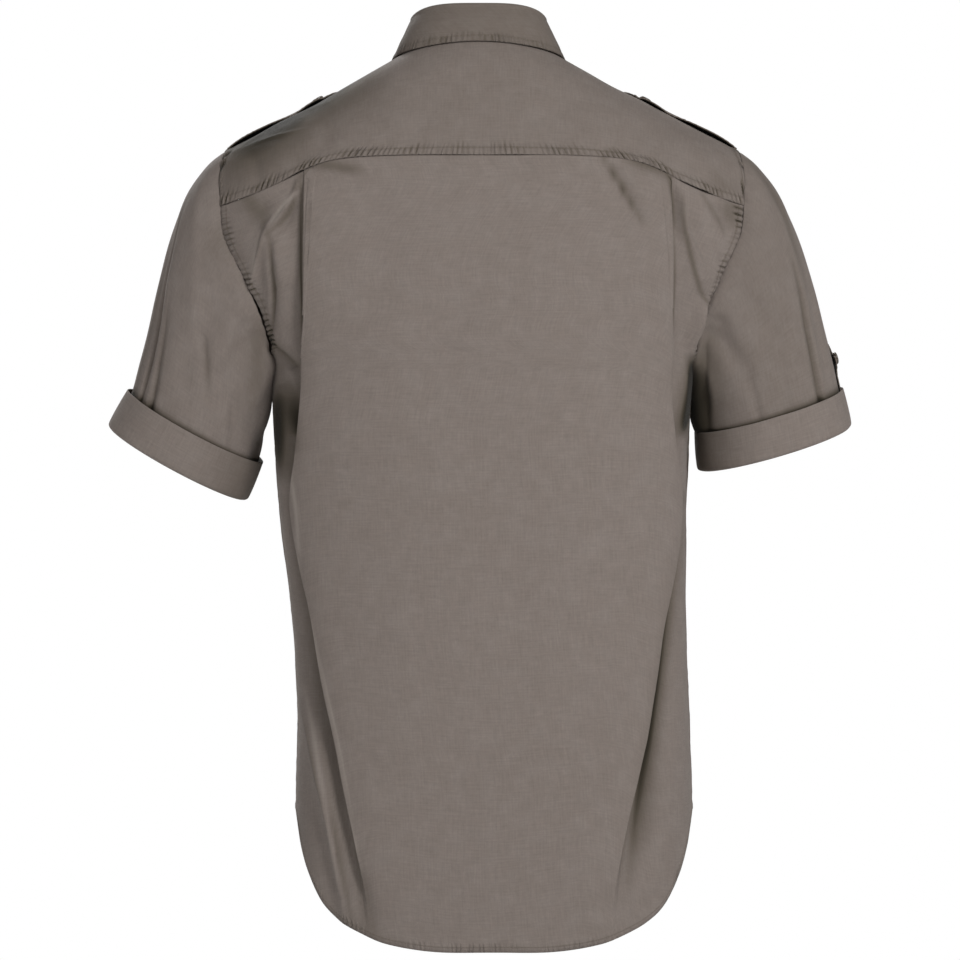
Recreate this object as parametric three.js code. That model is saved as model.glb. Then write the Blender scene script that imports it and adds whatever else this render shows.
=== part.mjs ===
// Short-sleeved military shirt, filled out as it is worn, open at the neck, hem and cuffs.
// Millimetres, +Z up, front faces -Y, wearer's left is +X, origin at the middle of the neck base.
import * as THREE from "three";

// Driving sizes
const WALL = 1.2;
const SEAM_INSET_TURN = 0.2;
const NECK_GAP = 0.3;
const RAY_END_GAP = 0.1;
const YOKE_GAP = 1.1;
const ARMHOLE_GAP = 1.0;
const ROUNDNESS = 2.4;
const UNDERARM = 380;
const YOKE_FRONT_TURN = 115;
const PLEAT_RADIUS = 1.2;
const PLEAT_SPREAD = 32;
const PLEAT_LEAD = 4;
const PLACKET_HALF = 16;
const PLACKET_LIFT = 1.7;
const PLACKET_TOP = 1.5;
const PLACKET_WALL = 1.1;
const UNDERLAP = 2.2;
const UNDERLAP_END = 36;
const BUTTON = { radius: 5.5, height: 2.4, rim: 1.1, dish: 0.7 };
const BUTTON_CLEARANCE = 0.35;
const FRONT_BUTTON_DROPS = [84, 168, 252, 336, 420, 504];
const CUFF = { wall: 1.3, room: 4.2, height: 35 };
const SLEEVE = { length: 235, girth: 395 };

const CLOTH = { color: 0x7e7570, roughness: 0.85, metalness: 0 };
const HORN = { color: 0x5d554d, roughness: 0.45, metalness: 0 };

// Torso rings from the neckline down: way is the length along the side, half the half-width,
// shift the sideways lean, back and front the depths, z... the heights at back, side and front.
const TORSO = [
  { way: 0, half: 68, shift: 3, back: 57, front: 72, zBack: 21, zSide: 5, zFront: -62 },
  { way: 42, half: 108, shift: 2, back: 75, front: 84, zBack: -4, zSide: -17, zFront: -82 },
  { way: 88, half: 150, shift: 0, back: 89, front: 97, zBack: -36, zSide: -40, zFront: -106 },
  { way: 134, half: 189, shift: 0, back: 99, front: 106, zBack: -64, zSide: -60, zFront: -134 },
  { way: 180, half: 226, shift: 0, back: 105, front: 114, zBack: -92, zSide: -80, zFront: -160 },
  { way: 207, half: 241, shift: 0, back: 109, front: 119, zBack: -115, zSide: -103, zFront: -180 },
  { way: 237, half: 246, shift: 0, back: 112, front: 122, zBack: -141, zSide: -132, zFront: -200 },
  { way: 265, half: 241, shift: 0, back: 114, front: 125, zBack: -167, zSide: -160, zFront: -219 },
  { way: 295, half: 227, shift: 0, back: 116, front: 127, zBack: -194, zSide: -189, zFront: -238 },
  { way: 325, half: 211, shift: 0, back: 116, front: 128, zBack: -220, zSide: -216, zFront: -257 },
  { way: 352, half: 197, shift: 0, back: 116, front: 128, zBack: -245, zSide: -242, zFront: -273 },
  { way: 380, half: 187, shift: 0, back: 115, front: 128, zBack: -271, zSide: -269, zFront: -291 },
  { way: 440, half: 183, shift: 0, back: 112, front: 126, zBack: -328, zSide: -328, zFront: -337 },
  { way: 510, half: 179, shift: -1, back: 107, front: 123, zBack: -398, zSide: -398, zFront: -400 },
  { way: 590, half: 173.5, shift: -5.5, back: 102, front: 120, zBack: -478, zSide: -478, zFront: -478 },
  { way: 680, half: 172, shift: -10, back: 100, front: 117, zBack: -568, zSide: -568, zFront: -568 },
  { way: 770, half: 174, shift: -10.5, back: 101, front: 116, zBack: -658, zSide: -658, zFront: -658 },
  { way: 900, half: 173, shift: -10.5, back: 104, front: 116, zBack: -788, zSide: -788, zFront: -788 },
];

// How far out the armhole seams lie, by height, on the back and on the front
const ARMHOLE = [
  { z: -290, back: 190, front: 190 },
  { z: -268, back: 188, front: 188 },
  { z: -254, back: 186, front: 184 },
  { z: -240, back: 189, front: 184 },
  { z: -222, back: 195, front: 187 },
  { z: -203, back: 203, front: 192 },
  { z: -183, back: 212, front: 198 },
  { z: -165, back: 221, front: 203 },
  { z: -148, back: 227, front: 208 },
  { z: -120, back: 229, front: 215 },
  { z: -95, back: 229, front: 222 },
  { z: -80, back: 226, front: 226 },
];

// Height of the back yoke seam by distance from the middle
const YOKE_SEAM = [
  { out: 0, z: -84 },
  { out: 60, z: -84 },
  { out: 105, z: -85.5 },
  { out: 130, z: -88.5 },
  { out: 146, z: -93 },
  { out: 162, z: -100 },
  { out: 180, z: -109 },
  { out: 200, z: -117.5 },
  { out: 230, z: -128 },
];

// Height of the curved hem by share of the half-width
const HEM = [
  { out: 0, back: -781, front: -758 },
  { out: 0.3, back: -780.5, front: -757 },
  { out: 0.54, back: -774, front: -751 },
  { out: 0.67, back: -765, front: -743 },
  { out: 0.78, back: -754, front: -732 },
  { out: 0.86, back: -740, front: -718 },
  { out: 0.925, back: -716, front: -699 },
  { out: 0.97, back: -690, front: -680 },
  { out: 1, back: -657, front: -657 },
];

// Side knife pleats of the back: place of the folded edge by height, the angle that the cloth
// turns back through, and the length that runs back under it
const PLEAT = [
  { z: -84, left: 156, right: 164, turn: 176, under: 13 },
  { z: -160, left: 157, right: 166, turn: 176, under: 11 },
  { z: -240, left: 158, right: 164, turn: 168, under: 8 },
  { z: -300, left: 160, right: 163, turn: 135, under: 4.5 },
  { z: -345, left: 163, right: 168, turn: 95, under: 3.5 },
  { z: -390, left: 165, right: 172, turn: 80, under: 4 },
  { z: -443, left: 158, right: 166, turn: 72, under: 5 },
  { z: -485, left: 150, right: 158, turn: 66, under: 5 },
  { z: -540, left: 141, right: 151, turn: 60, under: 5 },
  { z: -600, left: 129, right: 144, turn: 52, under: 5 },
  { z: -660, left: 118, right: 132, turn: 42, under: 5 },
  { z: -716, left: 106, right: 122, turn: 20, under: 5 },
  { z: -790, left: 96, right: 114, turn: 3, under: 4 },
];

// Soft folds of the body: ends, half-width and depth, a ridge where the depth is positive
const FOLDS = [
  { face: "back", x0: 188, z0: -130, x1: 176, z1: -200, width: 9, depth: 4 },
  { face: "back", x0: 182, z0: -255, x1: 166, z1: -300, width: 9, depth: -4 },
  { face: "back", x0: 148, z0: -560, x1: 124, z1: -735, width: 9, depth: 4 },
  { face: "back", x0: -185, z0: -150, x1: -198, z1: -205, width: 10, depth: 5 },
  { face: "back", x0: -180, z0: -245, x1: -172, z1: -330, width: 10, depth: 4 },
  { face: "back", x0: -110, z0: -92, x1: -136, z1: -150, width: 14, depth: -3 },
  { face: "back", x0: 40, z0: -180, x1: 46, z1: -330, width: 26, depth: -2 },
  { face: "back", x0: -150, z0: -600, x1: -140, z1: -720, width: 12, depth: -4 },
  { face: "front", x0: 176, z0: -240, x1: 120, z1: -430, width: 24, depth: -5 },
  { face: "front", x0: -176, z0: -240, x1: -126, z1: -420, width: 24, depth: -5 },
  { face: "front", x0: 140, z0: -420, x1: 110, z1: -740, width: 18, depth: 6 },
  { face: "front", x0: -144, z0: -440, x1: -118, z1: -740, width: 18, depth: 6 },
  { face: "front", x0: 70, z0: -200, x1: 64, z1: -520, width: 20, depth: -4 },
  { face: "front", x0: -78, z0: -220, x1: -70, z1: -560, width: 20, depth: -4 },
];

// Cuffs: middle and slant of the upper and lower ring, and its half-width and half-depth, and the
// tab's share of the way round the sleeve
const SLEEVES = [
  {
    name: "left", side: 1, tabTurn: 0.6, crown: [50, -27], axis: [0.28, -0.14, -0.94],
    top: { x: 252.5, y: -24, z: -320, tilt: 28, half: 67.5, deep: 57 },
    foot: { x: 268, y: -28, z: -352, tilt: 28, half: 70, deep: 59 },
  },
  {
    name: "right", side: -1, tabTurn: 0.54, crown: [46, -24], axis: [0.22, -0.14, -0.96],
    top: { x: 253, y: -24, z: -306, tilt: 16, half: 68, deep: 57 },
    foot: { x: 258, y: -28, z: -339, tilt: 16, half: 71, deep: 59 },
  },
];
const CUFF_PITCH = 8.6;

// Sleeve folds: turn is the share of the way round from the underarm over the back, the starts and
// ends are shares of the length, and a ridge has a positive depth
const SLEEVE_FOLDS = [
  { turn0: 0.1, from: 0.04, turn1: 0.24, to: 0.9, width: 0.022, depth: -5 },
  { turn0: 0.05, from: 0.04, turn1: 0.13, to: 0.8, width: 0.02, depth: 5 },
  { turn0: 0.2, from: 0.08, turn1: 0.33, to: 0.95, width: 0.03, depth: -4 },
  { turn0: 0.46, from: 0.35, turn1: 0.42, to: 1, width: 0.022, depth: -4 },
  { turn0: 0.9, from: 0.04, turn1: 0.78, to: 0.9, width: 0.025, depth: -5 },
  { turn0: 0.8, from: 0.1, turn1: 0.66, to: 0.95, width: 0.03, depth: -4 },
];

// Collar: angle on the fold line, angle and way of the outer edge on the shirt, and its lift
const COLLAR = [
  { turn: 0, edgeTurn: 0, way: 9, lift: 4.5 },
  { turn: 55, edgeTurn: 55, way: 8, lift: 4.5 },
  { turn: 90, edgeTurn: 90, way: 8, lift: 3.4 },
  { turn: 118, edgeTurn: 117, way: 19, lift: 4.5 },
  { turn: 142, edgeTurn: 139, way: 38, lift: 5 },
  { turn: 160, edgeTurn: 151, way: 53, lift: 5.5 },
  { turn: 175, edgeTurn: 159, way: 62, lift: 5.5 },
];
const STAND_TOP = { half: 57, shift: 3, back: 50, front: 68, zBack: 48, zSide: 37, zFront: -35 };
const STAND_END = 192;
const FALL_END = 175;
const FALL_CROWN = 2.5;

// Shoulder straps: distance out of both ends, half-widths, place of the middle line and lift
const STRAP = {
  end: 126, sewn: 223, halfEnd: 20, halfSewn: 24, middle: -13, point: 10,
  lift: 1.7, arch: 1.6, button: 0.17, seat: 0.8,
};
// Sleeve tabs: half-width, and how far above and below the cuff's top they reach
const TAB = {
  half: 13, reach: 34, tuck: 7, point: 10,
  lift: 1.9, arch: 2, thick: 1.1, button: 0.3, seat: 0.35,
};

const radians = (degrees) => (degrees * Math.PI) / 180;
const mix = (a, b, share) => a + (b - a) * share;
const steps = (count) => Array.from({ length: count + 1 }, (_, i) => i / count);

// Smooth value of a table's column at a place on its key, by cubics with the rows' mean slopes
function smooth(table, key, name, at) {
  const up = table[table.length - 1][key] > table[0][key];
  let i = 0;
  while (i < table.length - 2 && (up ? at > table[i + 1][key] : at < table[i + 1][key])) i += 1;
  const a = table[i];
  const b = table[i + 1];
  const before = table[Math.max(i - 1, 0)];
  const after = table[Math.min(i + 2, table.length - 1)];
  const span = b[key] - a[key];
  const share = THREE.MathUtils.clamp((at - a[key]) / span, 0, 1);
  const slopeA = ((b[name] - before[name]) / (b[key] - before[key])) * span;
  const slopeB = ((after[name] - a[name]) / (after[key] - a[key])) * span;
  const s2 = share * share;
  const s3 = s2 * share;
  return (
    a[name] * (2 * s3 - 3 * s2 + 1) + slopeA * (s3 - 2 * s2 + share) +
    b[name] * (3 * s2 - 2 * s3) + slopeB * (s3 - s2)
  );
}

// Place on a ring at a turn in degrees from the middle of the back towards the wearer's left
function onRing(ring, turn) {
  const s = Math.sin(radians(turn));
  const c = Math.cos(radians(turn));
  const reach = (Math.abs(s) ** ROUNDNESS + Math.abs(c) ** ROUNDNESS) ** (-1 / ROUNDNESS);
  const back = c >= 0;
  return new THREE.Vector3(
    ring.shift + ring.half * reach * s,
    (back ? ring.back : ring.front) * reach * c,
    mix(ring.zSide, back ? ring.zBack : ring.zFront, c * c),
  );
}

function torsoRing(way) {
  const ring = {};
  for (const name of Object.keys(TORSO[0])) ring[name] = smooth(TORSO, "way", name, way);
  return ring;
}

const onTorso = (turn, way) => onRing(torsoRing(way), turn);

// Turn at which a ring has a given sideways place, on the back or the front
function turnAt(x, way, face) {
  const ring = torsoRing(way);
  const share = THREE.MathUtils.clamp((x - ring.shift) / ring.half, -0.999, 0.999);
  const rest = (1 - Math.abs(share) ** ROUNDNESS) ** (1 / ROUNDNESS);
  const turn = THREE.MathUtils.radToDeg(Math.atan2(share, rest));
  return face === "back" ? turn : Math.sign(turn || 1) * 180 - turn;
}

// Root of a rising function between two places, by halving
function solve(rising, low, high) {
  for (let i = 0; i < 40; i += 1) {
    const middle = (low + high) / 2;
    if (rising(middle) < 0) low = middle;
    else high = middle;
  }
  return (low + high) / 2;
}

// Outward direction of the torso at a place
function torsoNormal(turn, way) {
  const across = onTorso(turn + 0.5, way).sub(onTorso(turn - 0.5, way));
  const down = onTorso(turn, way + 1).sub(onTorso(turn, Math.max(way - 1, 0)));
  return across.cross(down).normalize();
}

// Depth of the soft folds at a place: a bell across each fold that fades towards its ends
function relief(point) {
  const face = point.y > 0 ? "back" : "front";
  let depth = 0;
  for (const fold of FOLDS) {
    if (fold.face !== face) continue;
    const dx = fold.x1 - fold.x0;
    const dz = fold.z1 - fold.z0;
    const length = Math.hypot(dx, dz);
    const along = ((point.x - fold.x0) * dx + (point.z - fold.z0) * dz) / length ** 2;
    const off = ((point.x - fold.x0) * dz - (point.z - fold.z0) * dx) / length;
    if (along <= 0 || along >= 1) continue;
    depth += fold.depth * Math.exp(-((off / fold.width) ** 2)) * Math.sin(Math.PI * along) ** 0.7;
  }
  return depth;
}

// Place on the shirt's body with its folds, moved out by a lift
function onShirt(turn, way, lift = 0) {
  const point = onTorso(turn, way);
  return point.addScaledVector(torsoNormal(turn, way), lift + relief(point));
}

// Turn of the armhole seam on a ring: where the ring reaches as far out as the seam does
function armholeTurn(way, face) {
  if (way >= UNDERARM) return 90;
  const beyond = (turn) => {
    const point = onTorso(face === "back" ? turn : 180 - turn, way);
    return point.x - smooth(ARMHOLE, "z", face, point.z);
  };
  if (beyond(90) <= 0) return 90;
  const turn = solve(beyond, 20, 90);
  return face === "back" ? turn : 180 - turn;
}

// Way of the armhole seam along a ray from the neck, used near the top of the shoulder
function armholeWay(turn) {
  const face = turn < 90 ? "back" : "front";
  return solve((way) => {
    const point = onTorso(turn, way);
    return point.x - smooth(ARMHOLE, "z", face, point.z);
  }, 100, 260);
}

const yokeSeamWay = (turn) => solve((way) => {
  const point = onTorso(turn, way);
  return smooth(YOKE_SEAM, "out", "z", Math.abs(point.x)) - point.z;
}, 40, 300);

function hemWay(turn, face) {
  const ring = torsoRing(800);
  const share = Math.abs(onRing(ring, turn).x - ring.shift) / ring.half;
  const height = smooth(HEM, "out", face, share);
  return solve((way) => height - onTorso(turn, way).z, 500, 899);
}

// Corners of the seams on the torso
const BACK_CORNER = solve((turn) => {
  const point = onTorso(turn, armholeWay(turn));
  return point.z - smooth(YOKE_SEAM, "out", "z", point.x);
}, 45, 89);
const BACK_CORNER_WAY = armholeWay(BACK_CORNER);
const FRONT_CORNER_WAY = armholeWay(YOKE_FRONT_TURN);

// The columns of a grid on the wearer's right run the other way, so that they are turned round
const handed = (grid, side) => (side > 0 ? grid : grid.map((row) => [...row].reverse()));

// Closed cloth wall from a grid of outer points, with an even thickness inwards. Seen from outside
// with the rows running down, the columns run to the left. A round grid closes on itself.
function wall(outer, { round = false, thickness = WALL } = {}) {
  const rows = outer.length;
  const columns = outer[0].length;
  const wrap = (j) => (round ? (j + columns) % columns : THREE.MathUtils.clamp(j, 0, columns - 1));
  const at = (i, j) => outer[THREE.MathUtils.clamp(i, 0, rows - 1)][wrap(j)];
  const normalAt = (i, j) => {
    const down = at(i + 1, j).clone().sub(at(i - 1, j));
    const across = at(i, j + 1).clone().sub(at(i, j - 1));
    return across.cross(down).normalize();
  };
  const positions = [];
  for (let i = 0; i < rows; i += 1) {
    for (let j = 0; j < columns; j += 1) positions.push(...outer[i][j].toArray());
  }
  for (let i = 0; i < rows; i += 1) {
    for (let j = 0; j < columns; j += 1) {
      const inner = outer[i][j].clone().addScaledVector(normalAt(i, j), -thickness);
      positions.push(...inner.toArray());
    }
  }
  const faces = [];
  const quad = (a, b, c, d) => faces.push(a, b, c, a, c, d);
  const last = round ? columns : columns - 1;
  const outside = (i, j) => i * columns + wrap(j);
  const inside = (i, j) => rows * columns + outside(i, j);
  for (let i = 0; i < rows - 1; i += 1) {
    for (let j = 0; j < last; j += 1) {
      quad(outside(i, j), outside(i + 1, j), outside(i + 1, j + 1), outside(i, j + 1));
      quad(inside(i, j), inside(i, j + 1), inside(i + 1, j + 1), inside(i + 1, j));
    }
  }
  for (let j = 0; j < last; j += 1) {
    quad(outside(0, j), outside(0, j + 1), inside(0, j + 1), inside(0, j));
    quad(outside(rows - 1, j), inside(rows - 1, j), inside(rows - 1, j + 1), outside(rows - 1, j + 1));
  }
  if (!round) {
    for (let i = 0; i < rows - 1; i += 1) {
      quad(outside(i, 0), inside(i, 0), inside(i + 1, 0), outside(i + 1, 0));
      const j = columns - 1;
      quad(outside(i, j), outside(i + 1, j), inside(i + 1, j), inside(i, j));
    }
  }
  return solid(positions, faces);
}

// Geometry whose faces point out: the triangles are turned round where the volume is negative
function solid(positions, faces) {
  let volume = 0;
  const corner = (k) => new THREE.Vector3().fromArray(positions, 3 * faces[k]);
  for (let k = 0; k < faces.length; k += 3) {
    volume += corner(k).dot(corner(k + 1).cross(corner(k + 2)));
  }
  if (volume < 0) {
    for (let k = 0; k < faces.length; k += 3) [faces[k], faces[k + 1]] = [faces[k + 1], faces[k]];
  }
  const geometry = new THREE.BufferGeometry();
  geometry.setAttribute("position", new THREE.Float32BufferAttribute(positions, 3));
  geometry.setIndex(faces);
  geometry.computeVertexNormals();
  return geometry;
}

// Section of a knife pleat as places across and out: the cloth turns back over a small round nose,
// runs back under itself, and turns forward again
function pleatSection(turn, under) {
  const bends = [0, 1 / 3, 2 / 3, 1];
  const angle = radians(turn);
  const r = PLEAT_RADIUS;
  const nose = bends.map((share) => [r * Math.sin(angle * share), r * (Math.cos(angle * share) - 1)]);
  const run = [under * Math.cos(angle), -under * Math.sin(angle)];
  const [endAcross, endOut] = nose[nose.length - 1];
  const heel = bends.map((share) => [
    endAcross + run[0] + r * (Math.sin(angle) - Math.sin(angle * (1 - share))),
    endOut + run[1] + r * (Math.cos(angle) - Math.cos(angle * (1 - share))),
  ]);
  const points = [...nose, ...heel];
  const height = points[points.length - 1][1];
  return { points: points.map(([across, out]) => [across, out - height / 2]), step: -height / 2 };
}

// Back panel: columns between the side seams, the pleats and the middle
const PLEAT_POINTS = 8;
const BACK_COLUMNS = [
  ...steps(6).map((share) => ({ zone: "rightSide", share })),
  ...Array.from({ length: PLEAT_POINTS }, (_, k) => ({ zone: "rightPleat", k: PLEAT_POINTS - 1 - k })),
  ...steps(12).map((share) => ({ zone: "middle", share })),
  ...Array.from({ length: PLEAT_POINTS }, (_, k) => ({ zone: "leftPleat", k })),
  ...steps(6).map((share) => ({ zone: "leftSide", share })),
];
const BACK_SIDE_HEM = hemWay(90, "back");
const UNDERARM_SHARE = (UNDERARM - BACK_CORNER_WAY) / (BACK_SIDE_HEM - BACK_CORNER_WAY);
const BACK_ROWS = [
  ...steps(8).map((share) => share * UNDERARM_SHARE),
  ...steps(15).slice(1).map((share) => mix(UNDERARM_SHARE, 1, share)),
];

// One row of the back: the turn and the lift of every column at a share of the height
function backRow(share) {
  const sideWay = mix(BACK_CORNER_WAY, BACK_SIDE_HEM, share);
  const edge = armholeTurn(sideWay, "back");
  const middleWay = mix(yokeSeamWay(0), hemWay(0, "back"), share);
  const pleats = {};
  for (const [name, sign] of [["left", 1], ["right", -1]]) {
    const guess = mix(sideWay, middleWay, 0.35);
    const z = onTorso(45, guess).z;
    const turn = turnAt(sign * smooth(PLEAT, "z", name, z), guess, "back");
    const perDegree = onTorso(turn + 0.5, guess).distanceTo(onTorso(turn - 0.5, guess));
    const { points, step } = pleatSection(smooth(PLEAT, "z", "turn", z), smooth(PLEAT, "z", "under", z));
    pleats[name] = { turn, perDegree, points, step, sign };
  }
  const inner = (pleat) => pleat.turn - (pleat.sign * PLEAT_LEAD) / pleat.perDegree;
  const outer = (pleat) => {
    const across = pleat.points[PLEAT_POINTS - 1][0];
    return pleat.turn + (pleat.sign * (across + PLEAT_LEAD)) / pleat.perDegree;
  };
  const fade = (distance) => Math.exp(-((distance / PLEAT_SPREAD) ** 2));
  return BACK_COLUMNS.map(({ zone, share: across, k }) => {
    if (zone.endsWith("Pleat")) {
      const pleat = pleats[zone.replace("Pleat", "")];
      const [sideways, out] = pleat.points[k];
      return { turn: pleat.turn + (pleat.sign * sideways) / pleat.perDegree, lift: out };
    }
    const { left, right } = pleats;
    let turn = mix(inner(right), inner(left), across);
    if (zone === "rightSide") turn = mix(-edge, outer(right), across);
    if (zone === "leftSide") turn = mix(outer(left), edge, across);
    let lift = 0;
    for (const pleat of [left, right]) {
      const distance = Math.abs(turn - pleat.turn) * pleat.perDegree;
      const inside = (pleat.turn - turn) * pleat.sign > 0;
      lift += (inside ? pleat.step : -pleat.step) * fade(Math.max(distance - PLEAT_LEAD, 0));
    }
    return { turn, lift };
  });
}

function backPanel() {
  const top = backRow(0);
  const foot = backRow(1);
  const starts = top.map(({ turn }) => yokeSeamWay(turn) + YOKE_GAP);
  const ends = foot.map(({ turn }) => hemWay(turn, "back"));
  return wall(BACK_ROWS.map((share) => backRow(share).map(({ turn, lift }, j) => {
    const way = mix(starts[j], ends[j], share);
    const inset = SEAM_INSET_TURN * Math.sign(turn);
    const atEdge = j === 0 || j === top.length - 1;
    return onShirt(atEdge ? turn - inset : turn, way, lift);
  })));
}

// Yoke: rays from the neckline to the back seam and the armholes
const YOKE_BACK_RAYS = steps(26).map((share) => mix(-BACK_CORNER, BACK_CORNER, share));
const ARM_RAYS = steps(7).slice(1).map((share) => mix(BACK_CORNER, YOKE_FRONT_TURN, share));
const YOKE_RAYS = [
  ...ARM_RAYS.map((turn) => -turn).reverse(),
  ...YOKE_BACK_RAYS,
  ...ARM_RAYS,
];

const mirrored = (point) => new THREE.Vector3(-point.x, point.y, point.z);

function yoke() {
  const rays = YOKE_RAYS.map((turn) => {
    const size = Math.abs(turn);
    const end = size <= BACK_CORNER ? yokeSeamWay(turn) : armholeWay(size);
    return steps(7).map((share) => onShirt(turn, mix(NECK_GAP, end - RAY_END_GAP, share)));
  });
  return wall(rays[0].map((_, i) => rays.map((ray) => ray[i])));
}

// Front: from the neckline to the hem, and from the yoke seam, armhole and side to the middle
const FRONT_ROWS = [
  ...steps(6).map((share) => share * FRONT_CORNER_WAY),
  ...steps(7).slice(1).map((share) => mix(FRONT_CORNER_WAY, UNDERARM, share)),
];
const FRONT_LOWER_ROWS = steps(11).slice(1);

function front(side) {
  const columns = steps(12);
  const edgeX = side > 0 ? -PLACKET_HALF : PLACKET_HALF - 2;
  const place = (share, way, edge, hemShare) => {
    const closing = turnAt(edgeX, way, "front") * side;
    const end = closing < 0 ? closing + 360 : closing;
    const turn = mix(edge, end, share) * side;
    const out = Math.abs(onTorso(turn, way).x);
    const under = side < 0 ? UNDERLAP * THREE.MathUtils.smoothstep(UNDERLAP_END - out, 0, 14) : 0;
    const fall = hemShare === null ? way : mix(UNDERARM, hemWay(turn, "front"), hemShare);
    return onShirt(turn, fall, -under);
  };
  const upper = FRONT_ROWS.map((way) => columns.map((share) => {
    const seam = way < FRONT_CORNER_WAY + 0.01 ? YOKE_FRONT_TURN : armholeTurn(way, "front");
    return place(share, Math.max(way, NECK_GAP), seam + SEAM_INSET_TURN, null);
  }));
  const lower = FRONT_LOWER_ROWS.map((hemShare) => columns.map((share) => (
    place(share, mix(UNDERARM, BACK_SIDE_HEM, hemShare), 90 + SEAM_INSET_TURN, hemShare)
  )));
  return wall(handed([...upper, ...lower], side));
}

// Button band on the wearer's left front
function placket() {
  const columns = [1, 0.5, 0, -0.5, -1].map((share) => share * PLACKET_HALF);
  const end = hemWay(180, "front");
  return wall(steps(26).map((share) => columns.map((x) => {
    const way = mix(PLACKET_TOP, end, share);
    return onShirt(turnAt(x, way, "front"), way, PLACKET_LIFT);
  })), { thickness: PLACKET_WALL });
}

// Collar stand from the neckline up to the fold line; its ends lap at the front, left over right
const STAND_TURNS = steps(32).map((share) => mix(-STAND_END, STAND_END, share));

function standPoint(turn, share) {
  const low = onTorso(turn, 0);
  const high = onRing(STAND_TOP, turn);
  const away = new THREE.Vector3(high.x - STAND_TOP.shift, high.y, 0).normalize();
  const under = UNDERLAP * THREE.MathUtils.smoothstep(-turn, 158, 172);
  const point = low.lerp(high, share).addScaledVector(away, -under);
  point.z += 0.8 * (1 - share);
  return point;
}

function collarStand() {
  return wall(steps(4).map((share) => STAND_TURNS.map((turn) => standPoint(turn, 1 - share))));
}

// Collar fall: over the stand's top edge and down to the outer edge that lies on the shirt
function collarFall() {
  const over = [[-0.8, 2.3], [1, 2.2], [2.5, 1.1], [3.2, -1.6]];
  const turns = steps(30).map((share) => mix(-FALL_END, FALL_END, share));
  const sections = turns.map((turn) => {
    const size = Math.abs(turn);
    const sign = Math.sign(turn) || 1;
    const fold = onRing(STAND_TOP, turn);
    const away = new THREE.Vector3(fold.x - STAND_TOP.shift, fold.y, 0).normalize();
    const crest = over.map(([out, up]) => fold.clone().addScaledVector(away, out).setZ(fold.z + up));
    const edgeTurn = sign * smooth(COLLAR, "turn", "edgeTurn", size);
    const lift = smooth(COLLAR, "turn", "lift", size);
    const edge = onShirt(edgeTurn, smooth(COLLAR, "turn", "way", size), lift);
    const from = crest[crest.length - 1];
    const leaf = steps(6).slice(1).map((share) => {
      const point = from.clone().lerp(edge, share);
      return point.addScaledVector(away, FALL_CROWN * Math.sin(Math.PI * share));
    });
    return [...crest, ...leaf];
  });
  return wall(sections[0].map((_, i) => sections.map((section) => section[i])));
}

// Armhole loop in the order underarm, back, shoulder, front, at the stations of the body's seams
function armholeLoop() {
  const back = BACK_ROWS.slice(0, 9).map((share) => {
    const way = mix(BACK_CORNER_WAY, BACK_SIDE_HEM, share);
    return onTorso(armholeTurn(way, "back"), way);
  }).reverse();
  const shoulder = ARM_RAYS.map((turn) => onTorso(turn, armholeWay(turn)));
  const chest = FRONT_ROWS.filter((way) => way > FRONT_CORNER_WAY + 1 && way < UNDERARM - 1)
    .map((way) => onTorso(armholeTurn(way, "front"), way));
  return [...back, ...shoulder, ...chest];
}

function cuffPoint(ring, share, side, grow = 0) {
  const angle = 2 * Math.PI * share;
  const tilt = radians(ring.tilt);
  const pitch = radians(CUFF_PITCH);
  const across = -(ring.half + grow) * Math.cos(angle);
  const deep = (ring.deep + grow) * Math.sin(angle);
  return new THREE.Vector3(
    side * (ring.x + across * Math.cos(tilt)),
    ring.y + deep * Math.cos(pitch),
    ring.z + across * Math.sin(tilt) - deep * Math.sin(pitch),
  );
}

// Share of the way round the cuff for every station of the armhole: 0 at the underarm, half at the
// shoulder's tip, by length along the seam
function loopShares(loop) {
  const lengths = [0];
  loop.forEach((point, i) => {
    const next = loop[(i + 1) % loop.length];
    lengths.push(lengths[i] + point.distanceTo(next));
  });
  const highest = loop.reduce((best, point, i) => (point.z > loop[best].z ? i : best), 0);
  const total = lengths[loop.length];
  return loop.map((_, i) => (i <= highest
    ? (0.5 * lengths[i]) / lengths[highest]
    : 0.5 + (0.5 * (lengths[i] - lengths[highest])) / (total - lengths[highest])));
}

const LOOP = armholeLoop();
const LOOP_SHARES = loopShares(LOOP);

// Rib of the sleeve from the armhole to the upper cuff ring: one cubic curve that leaves the
// armhole outwards and reaches the cuff along the sleeve's axis
function sleeveRib(sleeve, station, share) {
  const turn = LOOP_SHARES[station];
  const crown = 0.5 - 0.5 * Math.cos(2 * Math.PI * turn);
  const start = LOOP[station].clone();
  start.x += ARMHOLE_GAP * mix(1.4, 1, crown);
  start.z += 1.6 * (1 - crown) ** 3;
  const end = cuffPoint(sleeve.top, turn, 1, -CUFF.room);
  const lead = new THREE.Vector3(
    mix(4, sleeve.crown[0], crown ** 1.3),
    14 * Math.sin(2 * Math.PI * turn) * (1 - 0.5 * crown),
    mix(9, sleeve.crown[1], crown),
  );
  const axis = new THREE.Vector3(...sleeve.axis).multiplyScalar(mix(34, 95, crown));
  const curve = new THREE.CubicBezierCurve3(start, start.clone().add(lead), end.clone().sub(axis), end);
  return curve.getPoint(share);
}

function sleeveRelief(turn, share) {
  let depth = 0;
  for (const fold of SLEEVE_FOLDS) {
    const along = (share - fold.from) / (fold.to - fold.from);
    if (along <= 0 || along >= 1) continue;
    const off = turn - mix(fold.turn0, fold.turn1, along);
    depth += fold.depth * Math.exp(-((off / fold.width) ** 2)) * Math.sin(Math.PI * along);
  }
  return depth;
}

const SLEEVE_ROWS = [...steps(13), 1.5, 1.95];

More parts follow.
